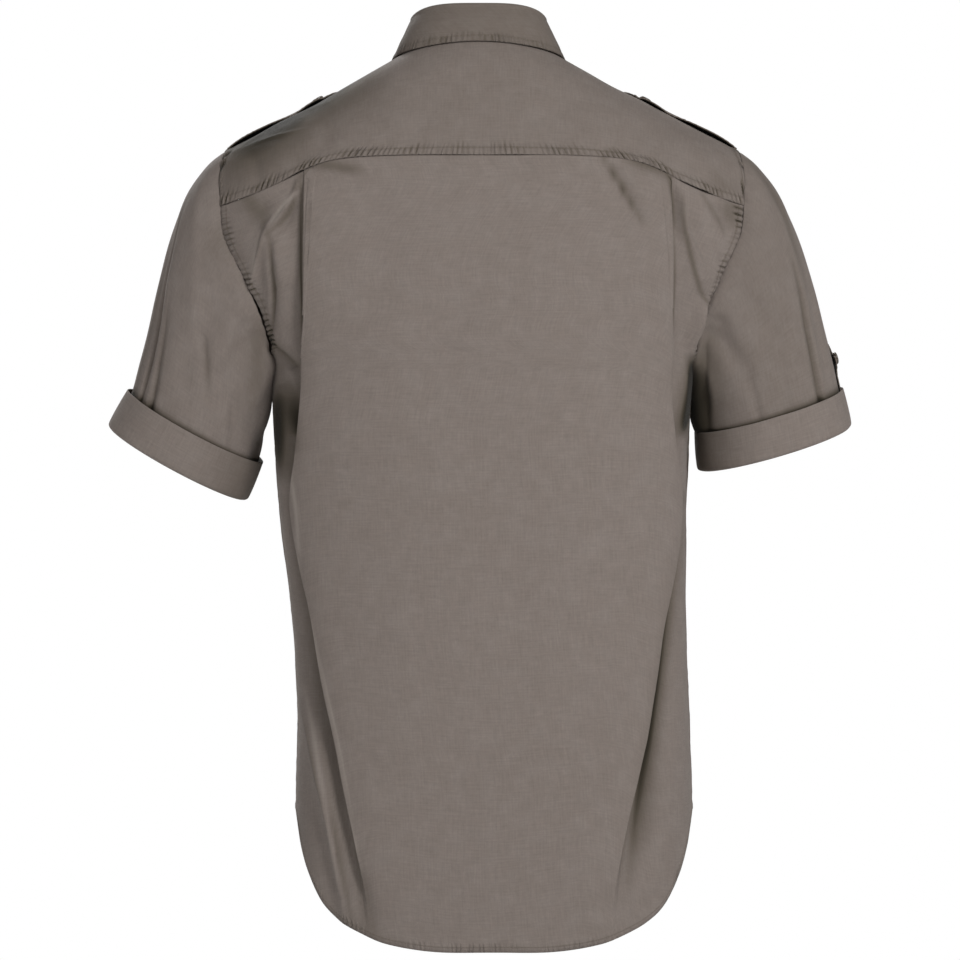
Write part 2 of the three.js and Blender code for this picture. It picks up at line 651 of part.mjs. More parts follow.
// Place on a sleeve's own form: a share up to 1 runs to the cuff's top, and up to 2 to its foot
function sleevePoint(sleeve, station, share) {
  if (share <= 1) return sleeveRib(sleeve, station, share);
  const turn = LOOP_SHARES[station];
  const high = cuffPoint(sleeve.top, turn, 1, -CUFF.room);
  return high.lerp(cuffPoint(sleeve.foot, turn, 1, -CUFF.room), share - 1);
}

function sleeveBody(sleeve) {
  const base = SLEEVE_ROWS.map((share) => LOOP.map((_, j) => sleevePoint(sleeve, j, share)));
  const grid = base.map((row, i) => row.map((point, j) => {
    const next = base[Math.min(i + 1, base.length - 1)][j];
    const last = base[Math.max(i - 1, 0)][j];
    const across = row[(j + 1) % row.length].clone().sub(row[(j + row.length - 1) % row.length]);
    const out = across.cross(next.clone().sub(last)).normalize();
    const moved = point.clone().addScaledVector(out, sleeveRelief(LOOP_SHARES[j], SLEEVE_ROWS[i]));
    return sleeve.side > 0 ? moved : mirrored(moved);
  }));
  return wall(handed(grid, sleeve.side), { round: true });
}

// Turned-up cuff: a closed section, up outside the sleeve and a little way up inside it
function cuff(sleeve) {
  const inside = -CUFF.wall;
  const tuckOutside = -CUFF.room - WALL - 0.5;
  const tuckInside = tuckOutside - 1;
  const section = [
    [0, 0], [0, 0.5], [-0.2, 0.97], [tuckOutside + 2, 1.05], [tuckInside, 1],
    [tuckInside, 0.82], [tuckOutside, 0.82], [tuckOutside, 0.975], [-3.2, 0.985], [inside - 0.4, 0.93],
    [inside, 0.5], [inside, 0],
  ];
  const stations = LOOP_SHARES.map((turn) => section.map(([grow, down]) => {
    const high = cuffPoint(sleeve.top, turn, sleeve.side, grow);
    return high.lerp(cuffPoint(sleeve.foot, turn, sleeve.side, grow), down);
  }));
  const positions = stations.flat().flatMap((point) => point.toArray());
  const faces = [];
  const n = section.length;
  for (let i = 0; i < stations.length; i += 1) {
    const next = (i + 1) % stations.length;
    for (let k = 0; k < n; k += 1) {
      const up = (k + 1) % n;
      faces.push(i * n + k, next * n + k, next * n + up, i * n + k, next * n + up, i * n + up);
    }
  }
  return solid(positions, faces);
}

// Place on the shoulder at a given distance out and forward
function onShoulder(x, y, lift) {
  const side = Math.sign(x);
  let turn = 90 - 40 * (y / 60);
  let way = 150;
  for (let i = 0; i < 30; i += 1) {
    const point = onTorso(turn, way);
    way += (Math.abs(x) - point.x) * 0.9;
    turn -= (y - point.y) * 0.35;
    way = THREE.MathUtils.clamp(way, 20, 300);
  }
  return onShirt(side * turn, way, lift);
}

function strapPlace(share, across) {
  const out = mix(STRAP.end, STRAP.sewn, share);
  const half = mix(STRAP.halfEnd, STRAP.halfSewn, share);
  const point = STRAP.point * Math.max(0, 1 - share * 6) * Math.abs(across);
  return [out + point, STRAP.middle + half * across];
}

const strapLift = (share) => STRAP.lift + STRAP.arch * Math.sin(Math.PI * share);

function epaulette(side) {
  return wall(handed(steps(12).map((share) => steps(6).map((across) => {
    const [x, y] = strapPlace(share, 1 - across * 2);
    return onShoulder(side * x, y, strapLift(share));
  })), side));
}

// Place on a sleeve's outer side near the cuff, moved out
function onSleeve(sleeve, turn, down, lift) {
  const point = (around, share) => {
    const index = LOOP_SHARES.findIndex((value) => value > around) - 1;
    const part = (around - LOOP_SHARES[index]) / (LOOP_SHARES[index + 1] - LOOP_SHARES[index]);
    return sleevePoint(sleeve, index, share).lerp(sleevePoint(sleeve, index + 1, share), part);
  };
  const along = point(turn, down + 0.02).sub(point(turn, down - 0.02));
  const across = point(turn + 0.01, down).sub(point(turn - 0.01, down));
  const moved = point(turn, down).addScaledVector(across.cross(along).normalize(), lift);
  return sleeve.side > 0 ? moved : mirrored(moved);
}

function tabPoint(sleeve, share, off, lift) {
  const below = mix(-TAB.reach, TAB.tuck, share);
  const reach = below / (below < 0 ? SLEEVE.length : CUFF.height);
  const point = (TAB.point * Math.max(0, 1 - share * 4) * Math.abs(off)) / SLEEVE.length;
  const turn = sleeve.tabTurn + (off * TAB.half) / SLEEVE.girth;
  return onSleeve(sleeve, turn, 1 + reach + point, lift);
}

const tabLift = (share) => TAB.lift + TAB.arch * Math.sin(Math.PI * Math.min(1, share * 1.6)) ** 2;

function tab(sleeve) {
  const grid = steps(8).map((share) => steps(4).map((across) => (
    tabPoint(sleeve, share, across * 2 - 1, tabLift(share))
  )));
  return wall(handed(grid, sleeve.side), { thickness: TAB.thick });
}

// Button: a turned disc with a raised rim
function buttonShape() {
  const { radius, height, rim, dish } = BUTTON;
  const profile = [
    [0, 0], [radius - 0.8, 0], [radius, 0.9], [radius - 0.3, height],
    [radius - rim, height], [radius - rim - 0.6, height - dish], [0, height - dish],
  ];
  return new THREE.LatheGeometry(profile.map(([r, z]) => new THREE.Vector2(r, z)), 12)
    .rotateX(Math.PI / 2);
}

const shirt = new THREE.Group();

function add(name, geometry, look = CLOTH) {
  const mesh = new THREE.Mesh(geometry, new THREE.MeshStandardMaterial(look));
  mesh.name = name;
  shirt.add(mesh);
  return mesh;
}

// Button placed with its back on a point and its face along a direction
function addButton(name, point, direction) {
  const mesh = add(name, buttonShape(), HORN);
  mesh.position.copy(point);
  mesh.quaternion.setFromUnitVectors(new THREE.Vector3(0, 0, 1), direction.clone().normalize());
}

// Buttons of the front, shoulder straps and sleeve tabs, with their backs just clear of the cloth
function frontButtons() {
  const high = standPoint(180, 0.5);
  high.y -= BUTTON_CLEARANCE;
  addButton("button_stand", high, new THREE.Vector3(0, -1, 0.12));
  const neck = onTorso(180, 0).z;
  FRONT_BUTTON_DROPS.forEach((drop, i) => {
    const way = solve((at) => neck - drop - onTorso(180, at).z, 0, 899);
    const turn = turnAt(0, way, "front");
    const out = torsoNormal(turn, way);
    addButton(`button_${i + 1}`, onShirt(turn, way, PLACKET_LIFT + BUTTON_CLEARANCE), out);
  });
}

function strapButton(side) {
  const [x, y] = strapPlace(STRAP.button, 0);
  const point = (dx, dy) => onShoulder(side * (x + dx), y + dy, strapLift(STRAP.button));
  const out = point(2, 0).sub(point(-2, 0)).cross(point(0, 2).sub(point(0, -2))).normalize();
  if (out.z < 0) out.negate();
  const name = `button_epaulette_${side > 0 ? "left" : "right"}`;
  addButton(name, point(0, 0).addScaledVector(out, STRAP.seat), out);
}

function tabButton(sleeve) {
  const lift = tabLift(TAB.button);
  const point = tabPoint(sleeve, TAB.button, 0, lift);
  const out = tabPoint(sleeve, TAB.button, 0, lift + 2).sub(point).normalize();
  addButton(`button_tab_${sleeve.name}`, point.addScaledVector(out, TAB.seat), out);
}

add("back_panel", backPanel());
add("yoke", yoke());
add("front_left", front(1));
add("front_right", front(-1));
add("placket", placket());
add("collar_stand", collarStand());
add("collar_fall", collarFall());
for (const sleeve of SLEEVES) {
  add(`sleeve_${sleeve.name}`, sleeveBody(sleeve));
  add(`cuff_${sleeve.name}`, cuff(sleeve));
  add(`epaulette_${sleeve.name}`, epaulette(sleeve.side));
  add(`tab_${sleeve.name}`, tab(sleeve));
  strapButton(sleeve.side);
  tabButton(sleeve);
}
frontButtons();

export default shirt;
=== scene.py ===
import math

import bpy
import numpy as np
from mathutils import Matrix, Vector


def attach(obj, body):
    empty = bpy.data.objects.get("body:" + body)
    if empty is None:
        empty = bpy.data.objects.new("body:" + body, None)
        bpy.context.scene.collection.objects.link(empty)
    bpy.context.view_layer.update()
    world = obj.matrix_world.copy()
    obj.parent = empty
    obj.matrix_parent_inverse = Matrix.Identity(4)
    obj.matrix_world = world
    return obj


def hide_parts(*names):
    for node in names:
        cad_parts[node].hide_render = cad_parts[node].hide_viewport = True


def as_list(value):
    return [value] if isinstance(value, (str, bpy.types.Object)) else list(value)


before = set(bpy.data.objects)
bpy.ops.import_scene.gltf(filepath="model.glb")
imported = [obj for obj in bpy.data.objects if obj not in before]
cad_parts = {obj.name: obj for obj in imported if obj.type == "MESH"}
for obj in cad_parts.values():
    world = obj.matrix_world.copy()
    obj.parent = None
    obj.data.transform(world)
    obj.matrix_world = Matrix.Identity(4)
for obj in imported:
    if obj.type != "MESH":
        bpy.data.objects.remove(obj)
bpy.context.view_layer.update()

# The shirt's own sizes are in millimetres, and a mesh is made in metres.
MM = 0.001

SIDE_NAMES = {1: "left", -1: "right"}

# Driving sizes of the cut
ROUNDNESS = 2.4
UNDERARM = 380
YOKE_FRONT_TURN = 115
PLEAT_RADIUS = 1.2
PLEAT_SPREAD = 32
PLEAT_LEAD = 4
PLACKET_HALF = 16
PLACKET_LIFT = 1.7
UNDERLAP = 2.2
UNDERLAP_END = 36
CUFF_ROOM = 4.2
CUFF_WALL = 1.3
CUFF_PITCH = 8.6
ARMHOLE_GAP = 0.5
STAND_END = 192
FALL_END = 175
FALL_CROWN = 2.5
CLOTH = 0.6
DOUBLED = 1.2
FRONT_BUTTON_DROPS = (84, 168, 252, 336, 420, 504)
BUTTON_SEAT = 0.35

# Where the topstitching runs, from each edge
STITCH_YOKE = 6.4
STITCH_COLLAR = 5.0
STITCH_HEM = 4.6
STITCH_PLACKET = 5.5
STITCH_STRAP = 4.0


# How a short row of a table ends: most creases run straight, with no bow, and have a soft bell
USUAL_END = (0, 2)


def table(names, *rows):
    """Columns by name from rows of numbers. A row that is one or two short ends as usual."""
    names = names.split()
    rows = [row + USUAL_END[2 + len(row) - len(names):] for row in rows]
    return dict(zip(names, np.array(rows, float).T))


# Torso rings from the neckline down: way is the length along the side, half the half-width,
# shift the sideways lean, then the depths, and the heights at back, side and front
TORSO = table(
    "way half shift back front zBack zSide zFront",
    (0, 68, 3, 57, 72, 21, 5, -62),
    (42, 108, 2, 75, 84, -4, -17, -82),
    (88, 150, 0, 89, 97, -36, -40, -106),
    (134, 189, 0, 99, 106, -64, -60, -134),
    (180, 226, 0, 105, 114, -92, -80, -160),
    (207, 241, 0, 109, 119, -115, -103, -180),
    (237, 246, 0, 112, 122, -141, -132, -200),
    (265, 241, 0, 114, 125, -167, -160, -219),
    (295, 227, 0, 116, 127, -194, -189, -238),
    (325, 211, 0, 116, 128, -220, -216, -257),
    (352, 197, 0, 116, 128, -245, -242, -273),
    (380, 187, 0, 115, 128, -271, -269, -291),
    (440, 183, 0, 112, 126, -328, -328, -337),
    (510, 179, -1, 107, 123, -398, -398, -400),
    (590, 173.5, -5.5, 102, 120, -478, -478, -478),
    (680, 172, -10, 100, 117, -568, -568, -568),
    (770, 174, -10.5, 101, 116, -658, -658, -658),
    (900, 173, -10.5, 104, 116, -788, -788, -788),
)

# How far out the armhole seams lie, by height, on the back and on the front
ARMHOLE = table(
    "z back front",
    (-290, 190, 190), (-268, 188, 188), (-254, 186, 184), (-240, 189, 184), (-222, 195, 187),
    (-203, 203, 192), (-183, 212, 198), (-165, 221, 203), (-148, 227, 208), (-120, 229, 215),
    (-95, 229, 222), (-80, 226, 226),
)

# Height of the back yoke seam by distance from the middle
YOKE_SEAM = table(
    "out z",
    (0, -84), (60, -84), (105, -85.5), (130, -88.5), (146, -93), (162, -100), (180, -109),
    (200, -117.5), (230, -128),
)

# Height of the curved hem by share of the half-width
HEM = table(
    "out back front",
    (0, -781, -758), (0.3, -780.5, -757), (0.54, -774, -751), (0.67, -765, -743),
    (0.78, -754, -732), (0.86, -740, -718), (0.925, -716, -699), (0.97, -690, -680),
    (1, -657, -657),
)

# Side knife pleats: place of the folded edge by height, the angle that the cloth turns back
# through, the length that runs back under it, and the depth of the troughs outside both
PLEAT = table(
    "z left right turn under leftTrough rightTrough",
    (-84, 154, 164, 176, 13, 0, 0), (-160, 155, 166, 176, 11, 2, 1), (-240, 155, 164, 168, 8, 4, 1),
    (-300, 157, 163, 140, 5.5, 7, 2), (-345, 161, 168, 110, 5.5, 10, 3),
    (-390, 165, 172, 100, 7, 10, 4), (-443, 156, 166, 96, 8, 7, 5), (-485, 147, 158, 92, 8, 5, 6),
    (-540, 138, 151, 90, 8, 4.5, 5), (-600, 126, 142, 86, 7, 4, 4), (-660, 115, 128, 80, 6, 3, 3),
    (-716, 104, 117, 50, 5, 2, 1.5), (-760, 99, 113, 8, 3, 0.5, 0), (-790, 96, 111, 3, 3, 0, 0),
)

# Creases: ends, half-width, depth, where a ridge is positive, sideways bow of the path, and the
# power of the bell, where 2 is soft and 1 is sharp. The first rows of each face are the shirt's
# largest folds.
CREASE = "x0 z0 x1 z1 width depth bow power"
BACK_CREASES = table(
    CREASE,
    (188, -130, 176, -200, 9, 4), (182, -255, 166, -300, 9, -4), (148, -560, 124, -735, 9, 4),
    (-185, -150, -198, -205, 10, 5), (-180, -245, -172, -330, 10, 4),
    (-108, -82, -136, -150, 14, -3), (40, -180, 46, -330, 26, -2), (-150, -600, -140, -720, 12, -4),
    (157, -96, 192, -158, 2.4, 5, 3.5, 1.3), (182, -134, 204, -206, 2.2, 3.6, -3, 1.3),
    (166, -104, 186, -160, 4, -2.6, 7), (172, -96, 196, -128, 8, -2.4),
    (186, -146, 187, -252, 3, -4.2, 3, 1.5), (197, -160, 192, -250, 6, -2.6),
    (190, -246, 164, -276, 3.2, -4.2, 0, 1.4), (174, -268, 166, -292, 3, 2.6, 0, 1.4),
    (200, -120, 186, -142, 8, -2.6), (161, -560, 120, -760, 3.2, 3.6, 4, 1.2),
    (150, -640, 128, -770, 7, -2.6, 3), (-167, -96, -173, -160, 5, -4.5, 0, 1.6),
    (-177, -118, -200, -196, 3, 3.6, -5, 1.2), (-182, -132, -196, -190, 6, -4),
    (-192, -108, -213, -160, 3, 2.4, 0, 1.2), (-200, -104, -220, -150, 6, -2.4),
    (-176, -252, -175, -340, 4, 4, 0, 1.4), (-187, -256, -184, -372, 5, -2, 0, 1.6),
    (-162, -180, -158, -300, 8, 1.6, 2), (-160, -480, -136, -700, 7, -2.4),
    (-100, -76, -142, -148, 3.6, -3.6, 2, 1.3), (-96, -90, -120, -140, 8, 1.4),
    (132, -94, 108, -104, 5, -2.2), (96, -110, 84, -240, 18, -1.2, 6),
    (-60, -120, -72, -300, 22, 1.2, -8), (-20, -300, -34, -560, 24, -1.4, 6),
    (70, -420, 60, -640, 22, 1.3, -6), (-100, -420, -84, -640, 18, -1.3, 8),
    (112, -700, 98, -765, 8, -2.2, 2), (-100, -690, -92, -770, 8, 1.6, -2),
    (64, -713, -22, -716, 3, -0.9, 1, 1.5), (60, -708, -20, -711, 4, 0.6, 1),
    (20, -600, 14, -770, 16, -1, 4),
)
FRONT_CREASES = table(
    CREASE,
    (176, -240, 120, -430, 24, -5), (-176, -240, -126, -420, 24, -5), (140, -420, 110, -740, 18, 6),
    (-144, -440, -118, -740, 18, 6), (70, -200, 64, -520, 20, -4), (-78, -220, -70, -560, 20, -4),
    (184, -238, 150, -300, 5, -3.4, 5), (-184, -238, -146, -290, 5, -3.4, -5),
    (176, -190, 140, -250, 7, 2.4, 4), (-176, -186, -138, -240, 7, 2.4, -4),
    (158, -340, 128, -520, 9, -3, 6), (-160, -350, -134, -540, 9, -3, -6),
    (100, -520, 92, -720, 9, 2.4, 4), (-104, -520, -90, -710, 9, 2.4, -4),
    (40, -300, 30, -440, 10, -1.6, 4), (-44, -330, -34, -470, 10, -1.6, -4),
    (60, -110, 96, -180, 10, -2, 8), (-60, -110, -98, -184, 10, -2, -8),
)
YOKE_CREASES = table(
    CREASE,
    (202, -78, 196, -118, 6, -2.2, 2), (180, -70, 176, -104, 8, 1.6, 2),
    (130, -40, 150, -88, 10, -1.6, 4), (-150, -54, -158, -92, 8, -1.6, 3),
    (-196, -80, -204, -112, 7, 1.6), (222, -82, 144, -59, 1.5, 1.1, 3),
    (222, -82, 128, -34, 1.5, 1, 4), (-146, -34, -220, -76, 1.6, 0.8, -4),
    (96, -20, 60, -66, 14, 1.2, 4), (-80, -16, -40, -70, 16, -1.2, 4),
)

# Painted shade for the hollows: the same columns, with the darkness from 0 to 1 as the depth, and
# below 0 a painted highlight along a crest
BACK_SHADE = table(
    CREASE,
    (212, -112, 186, -148, 9, 0.5), (158, -90, 100, -98, 5, 0.5), (158.5, -80, 161, -300, 2.2, 0.8),
    (162, -100, 190, -156, 2.2, 0.5, 7.5), (187, -146, 187, -252, 2, 0.6, 3),
    (190, -140, 198, -180, 3, 0.2), (192, -238, 166, -272, 3, 0.6), (194, -225, 178, -290, 5, 0.3),
    (182, -282, 178, -372, 6, 1), (176, -282, 161, -348, 8, 0.7),
    (160, -114, 186, -148, 1.8, -0.9, -3), (193, -148, 203, -194, 1.8, -0.9, -1),
    (172, -328, 156, -458, 1.6, -0.7, 4), (156, -458, 105, -715, 1.6, -0.7, 4),
    (158, -545, 124, -734, 1.8, -0.6, 3), (178, -350, 110, -750, 8, 0.2, -4),
    (162, -560, 112, -770, 2.6, 0.4, 4), (110, -690, 96, -776, 7, 0.26),
    (150, -740, 60, -782, 9, 0.12), (-122, -84, -172, -100, 7, 0.62),
    (-100, -76, -142, -148, 2.8, 0.55, 2), (-158, -84, -171, -150, 2, 0.6, 2),
    (-176, -116, -202, -232, 2.2, 0.55, -6), (-190, -112, -214, -156, 2.4, 0.3),
    (-214, -118, -222, -150, 7, 0.4), (-168.5, -140, -164.5, -290, 1.5, 0.5, 3),
    (-164, -262, -181, -392, 2, 0.55, -4), (-184, -256, -177, -332, 6, 1.7),
    (-181, -372, -126, -740, 4.5, 0.55, 3), (-172, -420, -140, -700, 9, 0.22),
)
YOKE_SHADE = table(
    CREASE,
    (228, -76, 84, 0, 24, 0.4), (250, -110, 150, -62, 22, 0.36), (250, -90, 90, -4, 16, 0.5),
    (-196, -100, -226, -118, 7, 0.2),
)

SLEEVES = {
    "left": {
        "side": 1, "tab_turn": 0.6, "crown": (50, -27), "axis": (0.28, -0.14, -0.94),
        "top": {"x": 252.5, "y": -24, "z": -320, "tilt": 28, "half": 67.5, "deep": 57},
        "foot": {"x": 268, "y": -28, "z": -352, "tilt": 28, "half": 70, "deep": 59},
    },
    "right": {
        "side": -1, "tab_turn": 0.54, "crown": (46, -24), "axis": (0.22, -0.14, -0.96),
        "top": {"x": 253, "y": -24, "z": -306, "tilt": 16, "half": 68, "deep": 57},
        "foot": {"x": 258, "y": -28, "z": -339, "tilt": 16, "half": 71, "deep": 59},
    },
}

# Sleeve creases: turn is the share of the way round from the underarm over the back, start and end
# are shares of the length, and the depth and power are as on the body
SLEEVE_CREASE = "turn0 start turn1 end width depth power"
# The creases on the front of both sleeves, which the photo hides
FRONT_OF_SLEEVE = (
    (0.9, 0.04, 0.78, 0.9, 0.025, -5), (0.8, 0.1, 0.66, 0.95, 0.03, -4),
    (0.86, 0.03, 0.72, 0.5, 0.014, -2.6, 1.6), (0.62, 0.5, 0.6, 1.1, 0.012, -2.6, 1.6),
    (0.7, 0.04, 0.62, 0.4, 0.016, -2),
)
SLEEVE_CREASES = {
    "left": table(
        SLEEVE_CREASE,
        (0.05, -0.02, 0.045, 0.86, 0.045, 8), (0.05, 0.74, 0.05, 1.2, 0.04, -4),
        (0.1, 0.04, 0.24, 0.9, 0.022, -5), (0.05, 0.04, 0.13, 0.8, 0.02, 5),
        (0.2, 0.08, 0.33, 0.95, 0.03, -4), (0.46, 0.35, 0.42, 1, 0.022, -4),
        (0.13, 0.03, 0.2, 0.5, 0.011, -2.4, 1.6), (0.445, 0.25, 0.41, 1.2, 0.008, -4, 1.4),
        (0.455, 0.3, 0.425, 1.1, 0.008, 2.4, 1.4), (0.395, 0.62, 0.365, 1.3, 0.012, -4, 1.6),
        (0.405, 0.5, 0.38, 1.2, 0.008, 2, 1.6), (0.27, 0.58, 0.235, 0.86, 0.012, -2.6, 1.6),
        (0.31, 0.3, 0.29, 0.8, 0.02, 1.6), (0.18, 0.55, 0.15, 1.1, 0.014, -2.4), *FRONT_OF_SLEEVE,
    ),
    "right": table(
        SLEEVE_CREASE,
        (0.05, -0.04, 0.045, 1.08, 0.05, 7), (0.05, 0.72, 0.045, 1.2, 0.04, 2.6),
        (0.1, 0.04, 0.24, 0.9, 0.022, -4), (0.05, 0.04, 0.13, 0.8, 0.02, 4),
        (0.2, 0.08, 0.33, 0.95, 0.03, -3), (0.46, 0.35, 0.42, 1, 0.022, -2),
        (0.02, 0.12, -0.01, 1.7, 0.03, 3), (0.12, 0.25, 0.08, 1.1, 0.014, -5, 1.6),
        (0.13, 0.06, 0.2, 0.5, 0.012, -2), (0.4, 0.45, 0.375, 1.25, 0.01, -4.2, 1.4),
        (0.41, 0.4, 0.39, 1.2, 0.01, 2.2, 1.6), (0.44, 0.1, 0.42, 0.7, 0.012, -2),
        (0.3, 0.7, 0.29, 1.1, 0.012, -1.8), (0.22, 0.75, 0.23, 1.1, 0.01, -1.6), *FRONT_OF_SLEEVE,
    ),
}
SLEEVE_SHADE = {
    "left": table(
        SLEEVE_CREASE,
        (0.03, -0.1, 0.03, 1.4, 0.035, 0.4), (0.12, -0.2, 0.12, 0.9, 0.03, 0.34),
        (0.45, 0.2, 0.41, 1.2, 0.006, 0.5), (0.39, 0.6, 0.362, 1.3, 0.01, 0.4),
        (0.268, 0.56, 0.235, 0.86, 0.01, 0.25), (0.28, -0.3, 0.3, 0.35, 0.04, 0.2),
        (0.47, 0.5, 0.46, 1.3, 0.014, 0.3),
    ),
    "right": table(
        SLEEVE_CREASE,
        (0.05, 0, 0.04, 1.8, 0.036, 1), (0.1, 0.1, 0.085, 1.3, 0.026, 0.6),
        (0.14, 0.1, 0.13, 1.2, 0.03, 0.3), (0.395, 0.4, 0.375, 1.25, 0.009, 0.5),
        (0.45, -0.1, 0.43, 0.7, 0.02, 0.35), (0.3, -0.6, 0.3, 1.8, 0.16, 0.14),
    ),
}

# Collar: angle on the fold line, angle and way of the outer edge on the shirt, and its lift
COLLAR = table(
    "turn edgeTurn way lift",
    (0, 0, 9, 1.6), (55, 55, 8, 1.7), (90, 90, 6, 1.8), (118, 117, 18, 3.0), (142, 139, 38, 4),
    (160, 151, 53, 4.5), (175, 159, 62, 4.5),
)
STAND_TOP = {
    "half": 57, "shift": 3, "back": 50, "front": 68, "zBack": 48, "zSide": 37, "zFront": -35,
}

# Shoulder strap: places out along the shoulder and half-widths at both ends, and its seat on it
STRAP = {
    "end": 126, "sewn": 223, "halfEnd": 20, "halfSewn": 24, "middle": -13, "point": 10,
    "lift": 1.7, "arch": 1.6, "button": 0.17, "seat": 0.8,
}
# Sleeve tab: how far it reaches up from the cuff's top and down inside it, and its own sizes
TAB = {
    "half": 13, "reach": 34, "tuck": 7, "point": 10,
    "lift": 1.9, "arch": 2, "thick": 1.1, "button": 0.3, "seat": 0.35,
}
CUFF_HEIGHT = 35
SLEEVE_LENGTH = 235
SLEEVE_GIRTH = 395


# Working out places on the shirt

def smooth(rows, key, name, at):
    """A column's value at places on its key: cubics through the rows, with their mean slopes."""
    k, v = rows[key], rows[name]
    if k[0] > k[-1]:
        k, v = k[::-1], v[::-1]
    slope = np.empty_like(v)
    slope[1:-1] = (v[2:] - v[:-2]) / (k[2:] - k[:-2])
    slope[0] = (v[1] - v[0]) / (k[1] - k[0])
    slope[-1] = (v[-1] - v[-2]) / (k[-1] - k[-2])
    i = np.clip(np.searchsorted(k, at, side="right") - 1, 0, len(k) - 2)
    span = k[i + 1] - k[i]
    s = np.clip((at - k[i]) / span, 0, 1)
    s2, s3 = s * s, s * s * s
    return (
        v[i] * (2 * s3 - 3 * s2 + 1) + slope[i] * span * (s3 - 2 * s2 + s)
        + v[i + 1] * (3 * s2 - 2 * s3) + slope[i + 1] * span * (s3 - s2)
    )


def step(value, low, high):
    """A smooth rise from 0 to 1 between two values."""
    s = np.clip((value - low) / (high - low), 0, 1)
    return s * s * (3 - 2 * s)


def bell(value, middle, width, power=2):
    """1 at the middle, falling off to both sides over the width."""
    return np.exp(-(np.abs((value - middle) / width) ** power))


def mix(a, b, share):
    return a + (b - a) * share


def on_ring(ring, turn):
    """Superellipse round the body: turn in degrees from the middle back to the wearer's left."""
    s, c = np.sin(np.radians(turn)), np.cos(np.radians(turn))
    reach = (np.abs(s) ** ROUNDNESS + np.abs(c) ** ROUNDNESS) ** (-1 / ROUNDNESS)
    back = c >= 0
    x = ring["shift"] + ring["half"] * reach * s
    y = np.where(back, ring["back"], ring["front"]) * reach * c
    z = ring["zSide"] + (np.where(back, ring["zBack"], ring["zFront"]) - ring["zSide"]) * c * c
    return np.stack(np.broadcast_arrays(x, y, z), -1)


def torso_ring(way):
    return {name: smooth(TORSO, "way", name, way) for name in TORSO}


def on_torso(turn, way):
    turn, way = np.broadcast_arrays(np.asarray(turn, float), np.asarray(way, float))
    return on_ring(torso_ring(way), turn)


def turn_at(x, way, face):
    """Turn at which a ring has a given sideways place, on the back or the front."""
    ring = torso_ring(np.asarray(way, float))
    share = np.clip((x - ring["shift"]) / ring["half"], -0.999, 0.999)
    rest = (1 - np.abs(share) ** ROUNDNESS) ** (1 / ROUNDNESS)
    turn = np.degrees(np.arctan2(share, rest))
    return turn if face == "back" else np.where(turn < 0, -180, 180) - turn


def solve(rising, low, high):
    """Root of a rising function between two places, by halving, for a whole array at once."""
    low, high = np.broadcast_arrays(np.asarray(low, float), np.asarray(high, float))
    low, high = low.copy(), high.copy()
    for _ in range(36):
        middle = (low + high) / 2
        below = rising(middle) < 0
        low = np.where(below, middle, low)
        high = np.where(below, high, middle)
    return (low + high) / 2


def unit(v):
    return v / np.maximum(np.linalg.norm(v, axis=-1, keepdims=True), 1e-9)


def torso_normal(turn, way):
    across = on_torso(turn + 0.5, way) - on_torso(turn - 0.5, way)
    down = on_torso(turn, way + 1) - on_torso(turn, np.maximum(way - 1, 0))
    return unit(np.cross(across, down))


# How bluntly a crease ends: 1 fades it as half a wave, and less keeps it full for longer
FADE_POWER = 0.7


def creases(rows, x, z):
    """Sum of creases: a bell across a bowed path, that fades towards the path's ends."""
    total = np.zeros(np.broadcast(x, z).shape)
    for k in range(len(rows["x0"])):
        r = {name: rows[name][k] for name in rows}
        dx, dz = r["x1"] - r["x0"], r["z1"] - r["z0"]
        length = math.hypot(dx, dz)
        along = ((x - r["x0"]) * dx + (z - r["z0"]) * dz) / length ** 2
        inside = np.clip(along, 0, 1)
        fade = np.sin(np.pi * inside)
        off = ((x - r["x0"]) * dz - (z - r["z0"]) * dx) / length - r["bow"] * fade
        total += r["depth"] * bell(off, 0, r["width"], r["power"]) * fade ** FADE_POWER
    return total


def relief(points):
    x, y, z = points[..., 0], points[..., 1], points[..., 2]
    back = step(y, -6, 6)
    return creases(BACK_CREASES, x, z) * back + creases(FRONT_CREASES, x, z) * (1 - back)


def ripple(x, z, size, seed):
    """Gentle unevenness between -1 and 1: eight waves of a given length in seeded directions."""
    draw = np.random.default_rng(seed)
    total = 0
    for _ in range(8):
        angle, phase = draw.uniform(0, math.pi), draw.uniform(0, 2 * math.pi)
        length = size * draw.uniform(0.7, 1.5)
        along = x * math.cos(angle) + z * math.sin(angle)
        total = total + np.sin(2 * math.pi * along / length + phase)
    return total / 4


def on_shirt(turn, way, lift=0.0):
    point = on_torso(turn, way)
    return point + torso_normal(turn, way) * (np.asarray(lift) + relief(point))[..., None]


def armhole_turn(way, face):
    """Turn of the armhole seam on a ring: where the ring reaches as far out as the seam does."""
    way = np.asarray(way, float)

    def beyond(turn):
        point = on_torso(turn if face == "back" else 180 - turn, way)
        return point[..., 0] - smooth(ARMHOLE, "z", face, point[..., 2])

    turn = solve(beyond, np.full(way.shape, 20.0), np.full(way.shape, 90.0))
    turn = np.where((way >= UNDERARM) | (beyond(np.full(way.shape, 90.0)) <= 0), 90, turn)
    return turn if face == "back" else 180 - turn


def armhole_way(turn):
    """Way of the armhole seam along a ray from the neck."""
    turn = np.asarray(turn, float)

    def beyond(way):
        point = on_torso(turn, way)
        back = smooth(ARMHOLE, "z", "back", point[..., 2])
        front = smooth(ARMHOLE, "z", "front", point[..., 2])
        return point[..., 0] - np.where(turn < 90, back, front)

    return solve(beyond, np.full(turn.shape, 100.0), np.full(turn.shape, 260.0))


